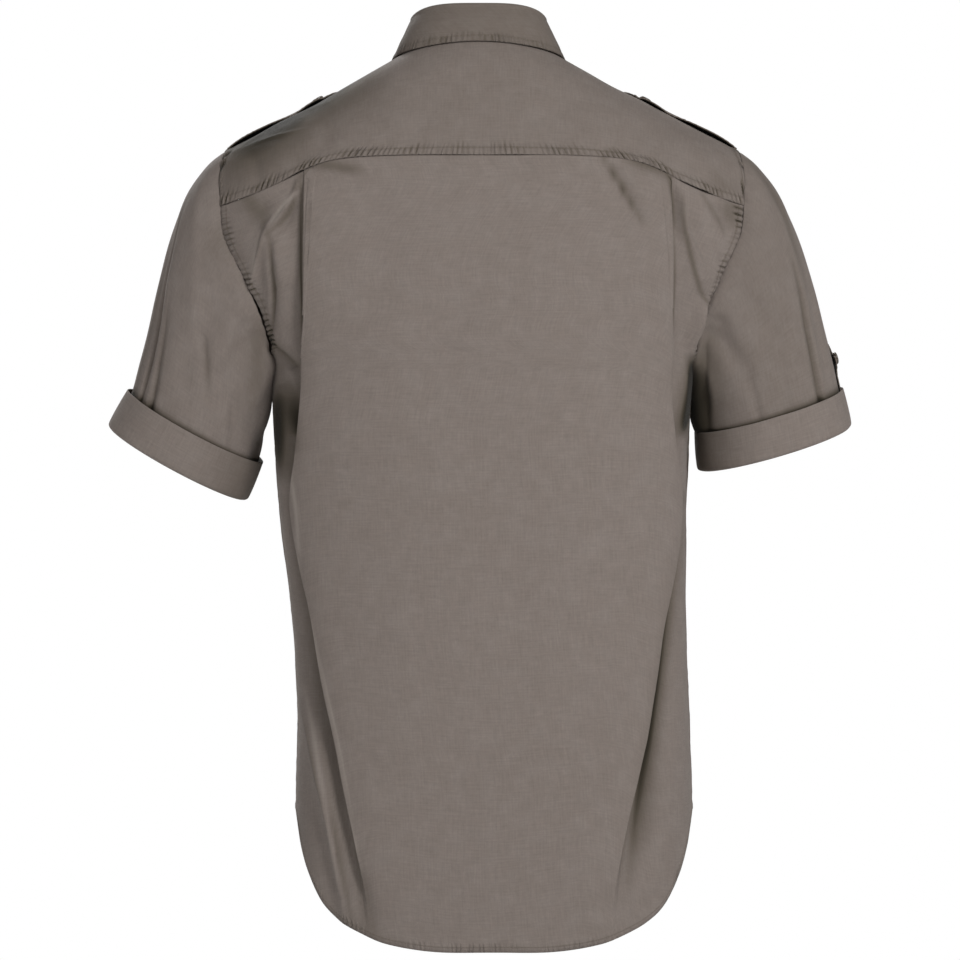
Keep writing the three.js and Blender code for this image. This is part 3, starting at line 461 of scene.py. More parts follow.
def yoke_seam_way(turn):
    turn = np.asarray(turn, float)

    def below(way):
        point = on_torso(turn, way)
        return smooth(YOKE_SEAM, "out", "z", np.abs(point[..., 0])) - point[..., 2]

    return solve(below, np.full(turn.shape, 40.0), np.full(turn.shape, 300.0))


def hem_way(turn, face):
    turn = np.asarray(turn, float)
    ring = torso_ring(np.float64(800))
    share = np.abs(on_ring(ring, turn)[..., 0] - ring["shift"]) / ring["half"]
    height = smooth(HEM, "out", face, share)
    return solve(lambda way: height - on_torso(turn, way)[..., 2],
                 np.full(turn.shape, 500.0), np.full(turn.shape, 899.0))


def corner_height(turn):
    point = on_torso(turn, armhole_way(turn))
    return point[..., 2] - smooth(YOKE_SEAM, "out", "z", point[..., 0])


BACK_CORNER = float(solve(corner_height, 45.0, 89.0))
BACK_CORNER_WAY = float(armhole_way(BACK_CORNER))
FRONT_CORNER_WAY = float(armhole_way(float(YOKE_FRONT_TURN)))
SIDE_HEM = float(hem_way(90.0, "back"))


# Meshes from grids

def grid_normals(grid, round_=False):
    """Outward directions of a grid whose rows run down and whose columns run to the left."""
    down = np.gradient(grid, axis=0)
    if round_:
        across = np.roll(grid, -1, axis=1) - np.roll(grid, 1, axis=1)
    else:
        across = np.gradient(grid, axis=1)
    return unit(np.cross(across, down))


def lengths(points, axis=0):
    """Length along a line of points, from its start."""
    pieces = np.linalg.norm(np.diff(points, axis=axis), axis=-1)
    start = np.zeros_like(np.take(pieces, [0], axis=axis))
    return np.concatenate([start, np.cumsum(pieces, axis=axis)], axis=axis)


def quad_faces(rows, columns, round_):
    spans = columns if round_ else columns - 1
    i, j = np.meshgrid(np.arange(rows - 1), np.arange(spans), indexing="ij")
    k = (j + 1) % columns
    corners = [i * columns + j, (i + 1) * columns + j, (i + 1) * columns + k, i * columns + k]
    return np.stack(corners, -1).reshape(-1, 4)


def rim_faces(edge, count, round_):
    """Faces that join an edge of the outer sheet to the same edge of the inner one."""
    a = edge if round_ else edge[:-1]
    b = np.roll(edge, -1) if round_ else edge[1:]
    return np.stack([a, b, b + count, a + count], -1)


def facing_out(points, faces):
    """The faces, all turned round where the volume that they close would be negative."""
    a, b, c, d = (points[faces[:, k]] for k in range(4))
    volume = (a * np.cross(b, c)).sum() + (a * np.cross(c, d)).sum()
    return faces if volume > 0 else faces[:, ::-1]


def mesh_object(name, points, faces, layers=None, caps=(), shade=None):
    """Object from arrays: points in millimetres, faces of four corners, many-sided caps, flat
    layers, and the shade in the hollows at every point."""
    mesh = bpy.data.meshes.new(name)
    mesh.from_pydata((points * MM).tolist(), [], faces.tolist() + [list(cap) for cap in caps])
    mesh.polygons.foreach_set("use_smooth", np.full(len(mesh.polygons), True))
    corners = np.empty(len(mesh.loops), np.int32)
    mesh.loops.foreach_get("vertex_index", corners)
    for layer, values in (layers or {}).items():
        uv = mesh.uv_layers.new(name=layer)
        uv.data.foreach_set("uv", values[corners].astype(np.float32).ravel())
    if shade is not None:
        values = mesh.attributes.new("shade", "FLOAT", "POINT").data
        values.foreach_set("value", shade.astype(np.float32))
    mesh.update()
    piece = bpy.data.objects.new(name, mesh)
    bpy.context.scene.collection.objects.link(piece)
    return piece


def shell(name, grid, thickness, seam, round_=False, flat=None, shade=0.0, lining_shade=0.35):
    """Closed thin cloth: the outer grid, the same grid moved in by the thickness, and the rims.

    The layer cloth holds flat lengths across and down, and seam holds the length along the nearest
    seam and the share of the way from its edge to its stitching. The inner side carries painted
    shade, at least as dark as the inner painted shade given."""
    rows, columns = grid.shape[:2]
    inner = grid - grid_normals(grid, round_) * thickness
    points = np.concatenate([grid.reshape(-1, 3), inner.reshape(-1, 3)])
    count = rows * columns
    outer_faces = quad_faces(rows, columns, round_)
    index = np.arange(count).reshape(rows, columns)
    faces = [outer_faces, outer_faces[:, ::-1] + count,
             rim_faces(index[0], count, round_), rim_faces(index[-1][::-1], count, round_)]
    if not round_:
        faces += [rim_faces(index[:, -1], count, False), rim_faces(index[::-1, 0], count, False)]
    if flat is None:
        flat = np.stack([lengths(grid, 1), lengths(grid, 0)], -1)
    layers = {
        "cloth": np.concatenate([flat.reshape(-1, 2) * MM] * 2),
        "seam": np.concatenate([seam.reshape(-1, 2)] * 2),
    }
    dark = np.broadcast_to(np.clip(shade, -1, 1), (rows, columns)).ravel()
    dark = np.concatenate([dark, np.maximum(dark, lining_shade)])
    return mesh_object(name, points, facing_out(points, np.concatenate(faces)), layers, shade=dark)


def dense(count, ends):
    """Shares from 0 to 1, closer together towards both ends as ends goes to 1."""
    s = np.linspace(0, 1, count)
    return mix(s, (1 - np.cos(np.pi * s)) / 2, ends)


def from_edge(grid, edge):
    """Length along an edge of a grid and distance in from it, at every point."""
    if edge in ("top", "foot"):
        grid = grid if edge == "top" else grid[::-1]
        along, off = lengths(grid[:1], 1), lengths(grid, 0)
        return np.broadcast_to(along, off.shape), off if edge == "top" else off[::-1]
    grid = grid if edge == "first" else grid[:, ::-1]
    along, off = lengths(grid[:, :1], 0), lengths(grid, 1)
    return np.broadcast_to(along, off.shape), off if edge == "first" else off[:, ::-1]


def line_in(grid, edge, inset):
    """Line of points and outward directions, at an inset from an edge of a grid."""
    normals = grid_normals(grid)
    if edge == "foot":
        grid, normals = grid[::-1], normals[::-1]
    if edge == "last":
        grid, normals = grid[:, ::-1], normals[:, ::-1]
    if edge in ("first", "last"):
        grid, normals = grid.swapaxes(0, 1), normals.swapaxes(0, 1)
    off = lengths(grid, 0)
    row = np.clip((off > inset).argmax(0), 1, None)
    column = np.arange(grid.shape[1])
    share = ((inset - off[row - 1, column]) / (off[row, column] - off[row - 1, column]))[:, None]
    points = mix(grid[row - 1, column], grid[row, column], share)
    return points, unit(mix(normals[row - 1, column], normals[row, column], share))


GROOVE_DEPTH = 0.28


def seam_form(share, height):
    """Low relief of a stitched edge: a raised band, and a groove where the stitches pull it in."""
    band = height * (1 - step(share, 0.95, 1.3))
    return band - GROOVE_DEPTH * bell(share, 1, 0.14)


def puckers(along, share, seed, size=5.2, height=0.9):
    """Short uneven ripples across a seam, strongest from its edge to a little past its stitches."""
    draw = np.random.default_rng(seed)
    swell, phase = draw.uniform(40, 130, 4), draw.uniform(0, 2 * math.pi, 4)
    wander = sum(np.sin(2 * np.pi * along / s + p) for s, p in zip(swell, phase))
    patchy = 0.6 + 0.3 * np.sin(along / 31 + phase[0]) + 0.5 * np.sin(along / 7.3 + phase[1])
    slant = 0.9 * share * np.sin(along / 47 + phase[2])
    reach = 1.9 + 0.6 * np.sin(along / 5.7 + phase[3])
    fade = step(share, -0.3, 0.3) * (1 - step(share, 0.9, reach))
    waves = np.sin(2 * np.pi * along / size + wander + slant)
    return height * np.clip(patchy, 0.15, 1) * waves * fade


# Sewing thread: short rounded stitches along a line

STITCH = {"pitch": 3.0, "length": 2.2, "radius": 0.24}
# Rings of a stitch: share of the half-length along it, and share of the radius
STITCH_RINGS = ((-1, 0.45), (-0.7, 1), (0.7, 1), (1, 0.45))
STITCH_SIDES = 6
sewing = {}


def on_line(run, values, at):
    """Values between the points of a line, at places along its run."""
    return np.stack([np.interp(at, run, values[:, k]) for k in range(3)], -1)


def sew(name, points, normals, sink=0.08):
    """Adds a run of stitches to a piece's sewing, at an even pitch along a line of points."""
    run = lengths(points)
    count = int(run[-1] / STITCH["pitch"])
    if count < 2:
        return
    at = (np.arange(count) + 0.5) * run[-1] / count
    where, up = on_line(run, points, at), unit(on_line(run, normals, at))
    along = unit(on_line(run, points, at + 0.5) - on_line(run, points, at - 0.5))
    aside = unit(np.cross(along, up))
    sewing.setdefault(name, []).append((where - up * sink, along, aside, np.cross(aside, along)))


def stitch_piece(name, runs):
    """Mesh of all the stitches of one name: a six-sided rounded bar at each place and direction."""
    where, along, aside, up = (np.concatenate(part) for part in zip(*runs))
    angle = np.arange(STITCH_SIDES) * 2 * np.pi / STITCH_SIDES
    rings = np.array(STITCH_RINGS)
    bar = rings[:, :1, None] * along[:, None, None] * STITCH["length"] / 2
    swell = rings[:, 1, None, None] * STITCH["radius"]
    around = (
        np.cos(angle)[None, None, :, None] * aside[:, None, None]
        + np.sin(angle)[None, None, :, None] * up[:, None, None]
    )
    points = where[:, None, None] + bar + swell[None] * around
    base = quad_faces(len(rings), STITCH_SIDES, True)
    last = STITCH_SIDES * (len(rings) - 1)
    ends = np.array([(3, 2, 1, 0), (5, 4, 3, 0), (last, last + 1, last + 2, last + 3),
                     (last, last + 3, last + 4, last + 5)])
    one = facing_out(points[0].reshape(-1, 3) - where[0], np.concatenate([base, ends]))
    faces = one[None] + np.arange(len(where))[:, None, None] * len(rings) * STITCH_SIDES
    return mesh_object(name, points.reshape(-1, 3), faces.reshape(-1, 4))


# Darkness of the shade in the pinched cloth along a seam, the share at which a part of an edge
# counts as stitched, and the share from the seam that stands for none near
PINCH_SHADE = 0.85
STITCHED = 0.4
FAR = 9.0


def both_ends(inset, band, part, pinch):
    """The same seam along the first and the last column."""
    return [(edge, inset, band, part, pinch) for edge in ("first", "last")]


def sewn(name, grid, seams=(), thickness=CLOTH, flat=None, round_=False, shade=0.0, **shades):
    """Cloth piece from a grid, raised along its stitched edges, with the runs of stitches.

    Each seam names an edge, the inset of its stitches, the height of its band, the part of the
    edge that it takes, as a share from 0 to 1 at every point, and how much it is pinched. The
    shade is that in the hollows, and it gathers where the cloth is pinched too."""
    height = np.zeros(grid.shape[:2])
    shade = shade + height
    nearest = np.full(grid.shape[:2], FAR)
    run = np.zeros(grid.shape[:2])
    for number, (edge, inset, band, part, pinch) in enumerate(seams):
        along, off = from_edge(grid, edge)
        share = off / inset
        pinched = puckers(along, share, seed=len(name) * 7 + number) * pinch
        height += (seam_form(share, band) + pinched) * part
        shade = shade + np.clip(-pinched, 0, 1) * PINCH_SHADE * part
        share = np.where(np.broadcast_to(part, share.shape) > STITCHED, share, FAR)
        run = np.where(share < nearest, along * MM, run)
        nearest = np.minimum(nearest, share)
    raised = grid + grid_normals(grid, round_) * height[..., None]
    for edge, inset, _, part, _ in seams:
        points, normals = line_in(raised, edge, inset)
        wide = np.broadcast_to(part, grid.shape[:2])
        taken = (wide[0] if edge in ("top", "foot") else wide[:, 0]) > STITCHED
        sew("stitches_" + name, points[taken], normals[taken])
    band_up = np.maximum(height, 0)[..., None]
    seam = np.stack([run, nearest], -1)
    return shell(name, raised, thickness + band_up * 0.8, seam, round_, flat, shade=shade, **shades)


# Pieces of the body

PLEAT_POINTS = 12
# How far the slack cloth of the back sags over the right armhole seam, at which height, and how far
# in from the seam
OVERHANG = (-9.0, 6.0, -3.0)
OVERHANG_AT = {"z": -232, "reach": 24, "in": 9, "width": 7}
# Trough outside a pleat: where it starts and how far it runs out
TROUGH_START = 9
TROUGH_SPREAD = 13


def pleat_section(turn, under):
    """Section of a knife pleat as places across and out: the cloth turns back over a small round
    nose, runs back under itself, and turns forward again. One section for each row."""
    bends = np.linspace(0, 1, PLEAT_POINTS)
    angle = np.radians(turn)[:, None]
    r = PLEAT_RADIUS
    nose = r * np.sin(angle * bends), r * (np.cos(angle * bends) - 1)
    run = under[:, None]
    start = nose[0][:, -1:] + run * np.cos(angle), nose[1][:, -1:] - run * np.sin(angle)
    rest = angle * (1 - bends)
    heel = (start[0] + r * (np.sin(angle) - np.sin(rest)),
            start[1] + r * (np.cos(angle) - np.cos(rest)))
    across, out = (np.concatenate(pair, 1) for pair in zip(nose, heel))
    height = out[:, -1:]
    return across, out - height / 2, -height / 2


UNDERARM_SHARE = (UNDERARM - BACK_CORNER_WAY) / (SIDE_HEM - BACK_CORNER_WAY)
BACK_ROWS = np.concatenate([
    np.linspace(0, UNDERARM_SHARE, 136), np.linspace(UNDERARM_SHARE, 1, 106)[1:],
])


def pleat_rows(share, side):
    """Turn, section and step of one pleat at every row, and the length of a degree there. The turn
    and the way of the pleat's own column are mended together, a few times over."""
    name = SIDE_NAMES[side]
    turn = np.full(len(share), side * 45.0)
    for _ in range(5):
        way = mix(yoke_seam_way(turn[0]), hem_way(turn[-1], "back"), share)
        z = on_torso(turn, way)[:, 2]
        turn = turn_at(side * smooth(PLEAT, "z", name, z), way, "back")
    degree = np.linalg.norm(on_torso(turn + 0.5, way) - on_torso(turn - 0.5, way), axis=-1)
    across, out, rise = pleat_section(smooth(PLEAT, "z", "turn", z), smooth(PLEAT, "z", "under", z))
    trough = smooth(PLEAT, "z", name + "Trough", z)
    return {"turn": turn[:, None], "degree": degree[:, None], "across": across, "out": out,
            "rise": rise, "side": side, "trough": trough[:, None]}


def back_panel():
    """Back: rows from the yoke seam to the hem, and columns between the side seams through both
    pleats, whose steps fade out sideways as a bell."""
    share = BACK_ROWS
    pleats = left, right = pleat_rows(share, 1), pleat_rows(share, -1)
    edge = armhole_turn(mix(BACK_CORNER_WAY, SIDE_HEM, share), "back")[:, None]

    def beside(pleat, distance):
        return pleat["turn"] + pleat["side"] * distance / pleat["degree"]

    inner = [beside(p, -PLEAT_LEAD) for p in pleats]
    outer = [beside(p, p["across"][:, -1:] + PLEAT_LEAD) for p in pleats]
    sides, middle = np.linspace(0, 1, 52), dense(52, 0.7)
    zones = [mix(-edge, outer[1], sides), mix(inner[1], inner[0], middle),
             mix(outer[0], edge, sides)]
    lifts = []
    for turn in zones:
        lift = 0
        for p in pleats:
            distance = np.abs(turn - p["turn"]) * p["degree"]
            inside = (p["turn"] - turn) * p["side"] > 0
            fade = bell(np.maximum(distance, PLEAT_LEAD), PLEAT_LEAD, PLEAT_SPREAD)
            lift = lift + np.where(inside, p["rise"], -p["rise"]) * fade
            hollow = bell(np.maximum(distance, TROUGH_START), TROUGH_START, TROUGH_SPREAD)
            lift = lift - p["trough"] * step(distance, 1, TROUGH_START) * hollow * ~inside
        lifts.append(lift)
    folds = [beside(p, p["across"]) for p in pleats]
    turn = np.concatenate([zones[0], folds[1][:, ::-1], zones[1], folds[0], zones[2]], 1)
    lift = np.concatenate([lifts[0], right["out"][:, ::-1], lifts[1], left["out"], lifts[2]], 1)
    tucked = np.linspace((0, 0.9), (0.8, 0.6), PLEAT_POINTS).T.ravel()
    tucked = np.concatenate([sides * 0, tucked[::-1], middle * 0, tucked, sides * 0])
    starts = yoke_seam_way(turn[0]) + 0.2
    ends = hem_way(turn[-1], "back")
    way = mix(starts, ends, share[:, None])
    points = on_torso(turn, way)
    x, z = points[..., 0], points[..., 2]
    uneven = 0.5 * ripple(x, z, 70, 3)
    below_seam = way - starts
    settle = 0.2 + 0.8 * step(below_seam, 0, 34)
    form = lift * settle + relief(points) * step(below_seam, 0, 16) + uneven
    grid = points + torso_normal(turn, way) * form[..., None]
    from_seam = from_edge(grid, "first")[1]
    at = OVERHANG_AT
    sag = bell(z, at["z"], at["reach"]) * bell(from_seam, at["in"], at["width"])
    grid = grid + (sag * step(from_seam, 0, 5))[..., None] * OVERHANG
    shade = creases(BACK_SHADE, x, z) + np.clip(-form - 3, 0, 6) / 26
    shade = shade + tucked * step(below_seam, 0, 10) * step(z, -745, -640)
    upper = (share < UNDERARM_SHARE)[:, None]
    return sewn("back_panel_cloth", grid, [
        ("foot", STITCH_HEM, 0.5, 1, 0.12),
        *both_ends(STITCH_YOKE, 0.6, upper, 1.1), *both_ends(STITCH_COLLAR, 0.25, ~upper, 0.2),
    ], shade=shade)


def yoke():
    """Yoke: rays from the neckline to the back seam and the armholes, raised over the pleats."""
    arm = np.linspace(BACK_CORNER, YOKE_FRONT_TURN, 44)[1:]
    turn = np.concatenate([-arm[::-1], np.linspace(-BACK_CORNER, BACK_CORNER, 340), arm])
    size = np.abs(turn)
    to_arm = armhole_way(np.maximum(size, 45))
    end = np.where(size <= BACK_CORNER + 1e-6, yoke_seam_way(turn), to_arm)
    way = mix(0.3, end - 0.1, np.linspace(0, 1, 80)[:, None])
    points = on_torso(turn, way)
    x, y, z = points[..., 0], points[..., 1], points[..., 2]
    over = bell(np.abs(x), 160, 22) * (y > 0)
    near = 1 - step(end - way, 0, 26)
    lift = (0.5 + 0.7 * over) * near * (size <= BACK_CORNER + 6)
    uneven = 0.5 * ripple(x, z, 60, 5) * step(way, 14, 34) + creases(YOKE_CREASES, x, z)
    grid = points + torso_normal(turn, way) * (lift + relief(points) + uneven)[..., None]
    flat = np.stack([grid[..., 0], grid[..., 1] - grid[..., 2]], -1)
    shade = 0.07 + creases(YOKE_SHADE, x, z) * (y > -20)
    rope = 0.75 + 0.75 * step(np.abs(x), 90, 150)
    seams = [("foot", STITCH_YOKE, 0.7, 1, rope), *both_ends(STITCH_YOKE, 0.5, 1, 0.4)]
    return sewn("yoke_cloth", grid, seams, flat=flat, shade=shade)


# Rows of a front along its yoke seam, along the armhole, and down to the hem
FRONT_ROWS = {"yoke": 34, "armhole": 54, "side": 100}


def front(side):
    """Front: from the yoke seam, the armhole and the side to the closing edge at the middle."""
    upper = np.concatenate([
        np.linspace(0, FRONT_CORNER_WAY, FRONT_ROWS["yoke"]),
        np.linspace(FRONT_CORNER_WAY, UNDERARM, FRONT_ROWS["armhole"])[1:],
    ])
    hem_share = np.linspace(0, 1, FRONT_ROWS["side"])[1:]
    lower = mix(UNDERARM, SIDE_HEM, hem_share)
    way = np.maximum(np.concatenate([upper, lower]), 0.3)
    seam = np.where(way < FRONT_CORNER_WAY + 0.01, YOKE_FRONT_TURN, armhole_turn(way, "front"))
    edge_x = -PLACKET_HALF if side > 0 else PLACKET_HALF - 2
    closing = turn_at(edge_x, way, "front") * side
    closing = np.where(closing < 0, closing + 360, closing)
    turn = mix(seam[:, None], closing[:, None], np.linspace(0, 1, 92)) * side
    out = np.abs(on_torso(turn, way[:, None])[..., 0])
    under = UNDERLAP * step(UNDERLAP_END - out, 0, 14) if side < 0 else 0
    share = np.concatenate([np.zeros(len(upper)), hem_share])[:, None]
    fall = np.where(share > 0, mix(UNDERARM, hem_way(turn, "front"), share), way[:, None])
    points = on_torso(turn, fall)
    uneven = 0.6 * ripple(points[..., 0], points[..., 2], 80, 8 + side)
    fade = step(out, 24, 60)
    lift = (relief(points) + uneven * fade - under)[..., None]
    grid = points + torso_normal(turn, fall) * lift
    rows = np.arange(len(way))[:, None]
    on_yoke = rows < FRONT_ROWS["yoke"]
    on_side = rows >= len(upper)
    edge = "first"
    if side < 0:
        grid, edge = grid[:, ::-1], "last"
    under_arm = bell(grid[..., 2], -300, 52) * step(np.abs(grid[..., 0]), 160, 184)
    return sewn(f"front_{SIDE_NAMES[side]}_cloth", grid, [
        (edge, STITCH_YOKE, 0.5, on_yoke, 0.8), (edge, STITCH_YOKE, 0.5, ~on_yoke & ~on_side, 0.8),
        (edge, STITCH_COLLAR, 0.25, on_side, 0.2), ("foot", STITCH_HEM, 0.5, 1, 0.12),
    ], shade=under_arm * 0.9)


def placket():
    """Button band: a flat strip down the middle, lifted clear of the front under it."""
    way = np.linspace(1.5, float(hem_way(180.0, "front")), 300)[:, None]
    x = np.linspace(PLACKET_HALF, -PLACKET_HALF, 17)[None]
    turn = turn_at(x, way, "front")
    turn, way = np.broadcast_arrays(turn, way)
    points = on_torso(turn, way)
    uneven = 0.35 * ripple(points[..., 0], points[..., 2], 45, 21)
    grid = points + torso_normal(turn, way) * (PLACKET_LIFT + relief(points) + uneven)[..., None]
    seams = [*both_ends(STITCH_PLACKET, 0.25, 1, 0.3), ("foot", STITCH_HEM, 0.2, 1, 0.1)]
    return sewn("placket_cloth", grid, seams, thickness=1.0)


def fold_line(turn):
    """Top of the stand: its ring, kept level at the back and dropping late towards the sides."""
    line = on_ring(STAND_TOP, turn)
    back = np.maximum(np.cos(np.radians(turn)), 0) ** 2
    line[..., 2] += (STAND_TOP["zBack"] - STAND_TOP["zSide"]) * back * (1 - back)
    return line


def from_neck(line):
    """Level directions from the middle of the neck out to places on the fold line."""
    return unit(np.stack([line[..., 0] - STAND_TOP["shift"], line[..., 1], line[..., 2] * 0], -1))


def stand_point(turn, share):
    low, high = on_torso(turn, 0.0), fold_line(turn)
    away = from_neck(high)
    under = UNDERLAP * step(-turn, 158, 172)
    point = mix(low, high, share[..., None]) - away * under[..., None]
    point[..., 2] += 0.8 * (1 - share)
    return point


def collar_stand():
    """Collar stand: straight lines up from the neckline to the fold line, lapped at the front."""
    turn = np.linspace(-STAND_END, STAND_END, 200)[None]
    share = np.linspace(1, 0, 14)[:, None]
    grid = stand_point(*np.broadcast_arrays(turn, share))
    seams = [("foot", 2.5, 0.1, 1, 0.1), *both_ends(3.0, 0.1, 1, 0.1)]
    return sewn("collar_stand_cloth", grid, seams, thickness=DOUBLED)


# Section of the fold over the stand's top: places out and up that pull a quadratic curve
FOLD_OUT = (-0.8, 3.0, 3.2)
FOLD_UP = (2.3, 2.8, -1.6)


def curve(ends_and_pull, s):
    """Quadratic curve from its start, pulled by a middle value, to its end."""
    a, b, c = ends_and_pull
    return (1 - s) ** 2 * a + 2 * s * (1 - s) * b + s * s * c


def collar_fall():
    """Collar fall: a round fold over the stand's top, then a slightly crowned leaf to its edge."""
    turn = np.linspace(-FALL_END, FALL_END, 220)
    size, sign = np.abs(turn), np.where(turn < 0, -1, 1)
    fold = fold_line(turn)
    away = from_neck(fold)
    bend = np.linspace(0, 1, 14)[:, None]
    crest = fold[None] + curve(FOLD_OUT, bend)[..., None] * away[None]
    crest = crest + curve(FOLD_UP, bend)[..., None] * np.array((0, 0, 1))
    edge_turn, way, lift = (
        smooth(COLLAR, "turn", name, size) for name in ("edgeTurn", "way", "lift"))
    edge = on_shirt(sign * edge_turn, way, lift)
    share = np.linspace(0, 1, 34)[1:, None, None]
    crown = FALL_CROWN * mix(1, 0.2, np.sin(np.radians(np.minimum(size, 90))) ** 6)[:, None]
    leaf = mix(crest[-1][None], edge[None], share)
    leaf = leaf + away[None] * crown[None] * np.sin(np.pi * share)
    grid = np.concatenate([crest, leaf])
    uneven = 0.25 * ripple(grid[..., 0] * 1.3, grid[..., 2] * 2, 38, 31)
    uneven = uneven * step(lengths(grid, 0), 6, 24)
    grid = grid + grid_normals(grid) * uneven[..., None]
    seams = [("foot", STITCH_COLLAR, 0.35, 1, 0.5), *both_ends(STITCH_COLLAR, 0.3, 1, 0.3)]
    return sewn("collar_fall_cloth", grid, seams, thickness=DOUBLED,
                shade=0.3 + 0.25 * step(size, 58, 96)[None])


# Sleeves

def armhole_loop():
    """Armhole as a closed line: underarm, up the back, over the shoulder, and down the front."""
    ways = mix(BACK_CORNER_WAY, SIDE_HEM, np.linspace(UNDERARM_SHARE, 0, 120))
    back = on_torso(armhole_turn(ways, "back"), ways)
    turns = np.linspace(BACK_CORNER, YOKE_FRONT_TURN, 80)[1:]
    shoulder = on_torso(turns, armhole_way(turns))
    ways = np.linspace(FRONT_CORNER_WAY, UNDERARM, 120)[1:]
    chest = on_torso(armhole_turn(ways, "front"), ways)
    return np.concatenate([back, shoulder, chest])


LOOP = armhole_loop()
LOOP_RUN = lengths(LOOP)
LOOP_TOP = LOOP_RUN[LOOP[:, 2].argmax()]
LOOP_SHARE = np.where(
    LOOP_RUN <= LOOP_TOP, 0.5 * LOOP_RUN / LOOP_TOP,
    0.5 + 0.5 * (LOOP_RUN - LOOP_TOP) / (LOOP_RUN[-1] - LOOP_TOP),
)


def loop_at(turn):
    return on_line(LOOP_SHARE, LOOP, turn % 1)


def cuff_point(ring, turn, grow=0.0):
    """Tilted ellipse of a cuff, as on the wearer's left: the share of the way round is turn."""
    angle, tilt, pitch = 2 * np.pi * turn, math.radians(ring["tilt"]), math.radians(CUFF_PITCH)
    across = -(ring["half"] + grow) * np.cos(angle)
    deep = (ring["deep"] + grow) * np.sin(angle)
    return np.stack([
        ring["x"] + across * math.cos(tilt),
        ring["y"] + deep * math.cos(pitch),
        ring["z"] + across * math.sin(tilt) - deep * math.sin(pitch),
    ], -1)


# How the sleeve leaves the armhole: how far the curves lead out, forward and up or down from the
# underarm, and how far they lead into the cuff at the underarm and at the crown
SLEEVE_LEAD = {"out": 4, "swing": 14, "up": 9, "underarm": 34, "crown": 95}


def sleeve_form(sleeve, turn, share):
    """Bare form of a sleeve: cubic curves from the armhole to the upper cuff ring, for shares up to
    1, and straight on to the lower ring up to 2."""
    turn, share = np.broadcast_arrays(turn, share)
    crown = (0.5 - 0.5 * np.cos(2 * np.pi * turn))[..., None]
    start = loop_at(turn)
    start = start + np.concatenate(
        [ARMHOLE_GAP * mix(1.4, 1, crown), crown * 0, 1.6 * (1 - crown) ** 3], -1)
    end = cuff_point(sleeve["top"], turn, -CUFF_ROOM)
    swing = np.sin(2 * np.pi * turn)[..., None]
    lead = np.concatenate([
        mix(SLEEVE_LEAD["out"], sleeve["crown"][0], crown ** 1.3),
        SLEEVE_LEAD["swing"] * swing * (1 - 0.5 * crown),
        mix(SLEEVE_LEAD["up"], sleeve["crown"][1], crown),
    ], -1)
    axis = np.array(sleeve["axis"]) * mix(SLEEVE_LEAD["underarm"], SLEEVE_LEAD["crown"], crown)
    s = np.minimum(share, 1)[..., None]
    a, b, c, d = start, start + lead, end - axis, end
    point = a * (1 - s) ** 3 + b * 3 * s * (1 - s) ** 2 + c * 3 * s * s * (1 - s) + d * s ** 3
    foot = cuff_point(sleeve["foot"], turn, -CUFF_ROOM)
    return point + (foot - end) * np.maximum(share - 1, 0)[..., None]


def sleeve_relief(rows, turn, share):
    """Creases of a sleeve: a bell across each slanted path, fading at its ends as half a wave."""
    total = np.zeros(np.broadcast(turn, share).shape)
    for k in range(len(rows["turn0"])):
        r = {name: rows[name][k] for name in rows}
        along = np.clip((share - r["start"]) / (r["end"] - r["start"]), 0, 1)
        off = turn - mix(r["turn0"], r["turn1"], along)
        across = bell(off, 0, r["width"], r["power"])
        total = total + r["depth"] * across * np.sin(np.pi * along)
    return total


def hand(grid, side):
    """A grid made for the wearer's left, mirrored and turned round for the wearer's right."""
    return grid if side > 0 else (grid * (-1, 1, 1))[:, ::-1]


def sleeve_cloth(name, sleeve):
    """Sleeve: a round grid from the armhole down into the cuff, with its creases."""
    turn = (np.arange(200) / 200)[None]
    share = np.concatenate([np.linspace(0, 1, 96), np.linspace(1, 1.95, 12)[1:]])[:, None]
    turn, share = np.broadcast_arrays(turn, share)
    form = sleeve_form(sleeve, turn, share)
    angle = 2 * np.pi * turn
    fine = 0.5 * ripple(np.sin(angle) * 63 + 90 * np.cos(angle), share * SLEEVE_LENGTH, 60, 40)
    fine = fine * step(share, 0.02, 0.2) * (1 - step(share, 0.9, 1.0))
    height = sleeve_relief(SLEEVE_CREASES[name], turn, share) + fine
    run = turn * SLEEVE_GIRTH
    near = share * SLEEVE_LENGTH
    height = height + puckers(run, near / 7 + 0.6, 50 + sleeve["side"], size=9, height=0.45)
    shade = sum(sleeve_relief(SLEEVE_SHADE[name], at, share) for at in (turn, turn - 1))
    shade = shade + step(share, 0.97, 1.02)
    grid = hand(form + grid_normals(form, True) * height[..., None], sleeve["side"])
    flat = np.stack([run, near], -1)
    if sleeve["side"] < 0:
        flat, shade = flat[:, ::-1], shade[:, ::-1]
    return sewn(f"sleeve_{name}_cloth", grid, flat=flat, round_=True, shade=shade)


def rounded(corners, share):
    """Closed line through corner places, cut to smooth bends: each span is a quadratic curve
    between the middles of two sides."""
    corners = np.array(corners, float)
    before, after = np.roll(corners, 1, 0), np.roll(corners, -1, 0)
    pulls = (before + corners) / 2, corners, (corners + after) / 2
    return curve([pull[:, None] for pull in pulls], share[None, :, None]).reshape(-1, 2)


# Reach round the cuff and darkness of the shade on its side towards the body
CUFF_SHADE = {"left": (0.16, 0.5), "right": (0.13, 0.65)}


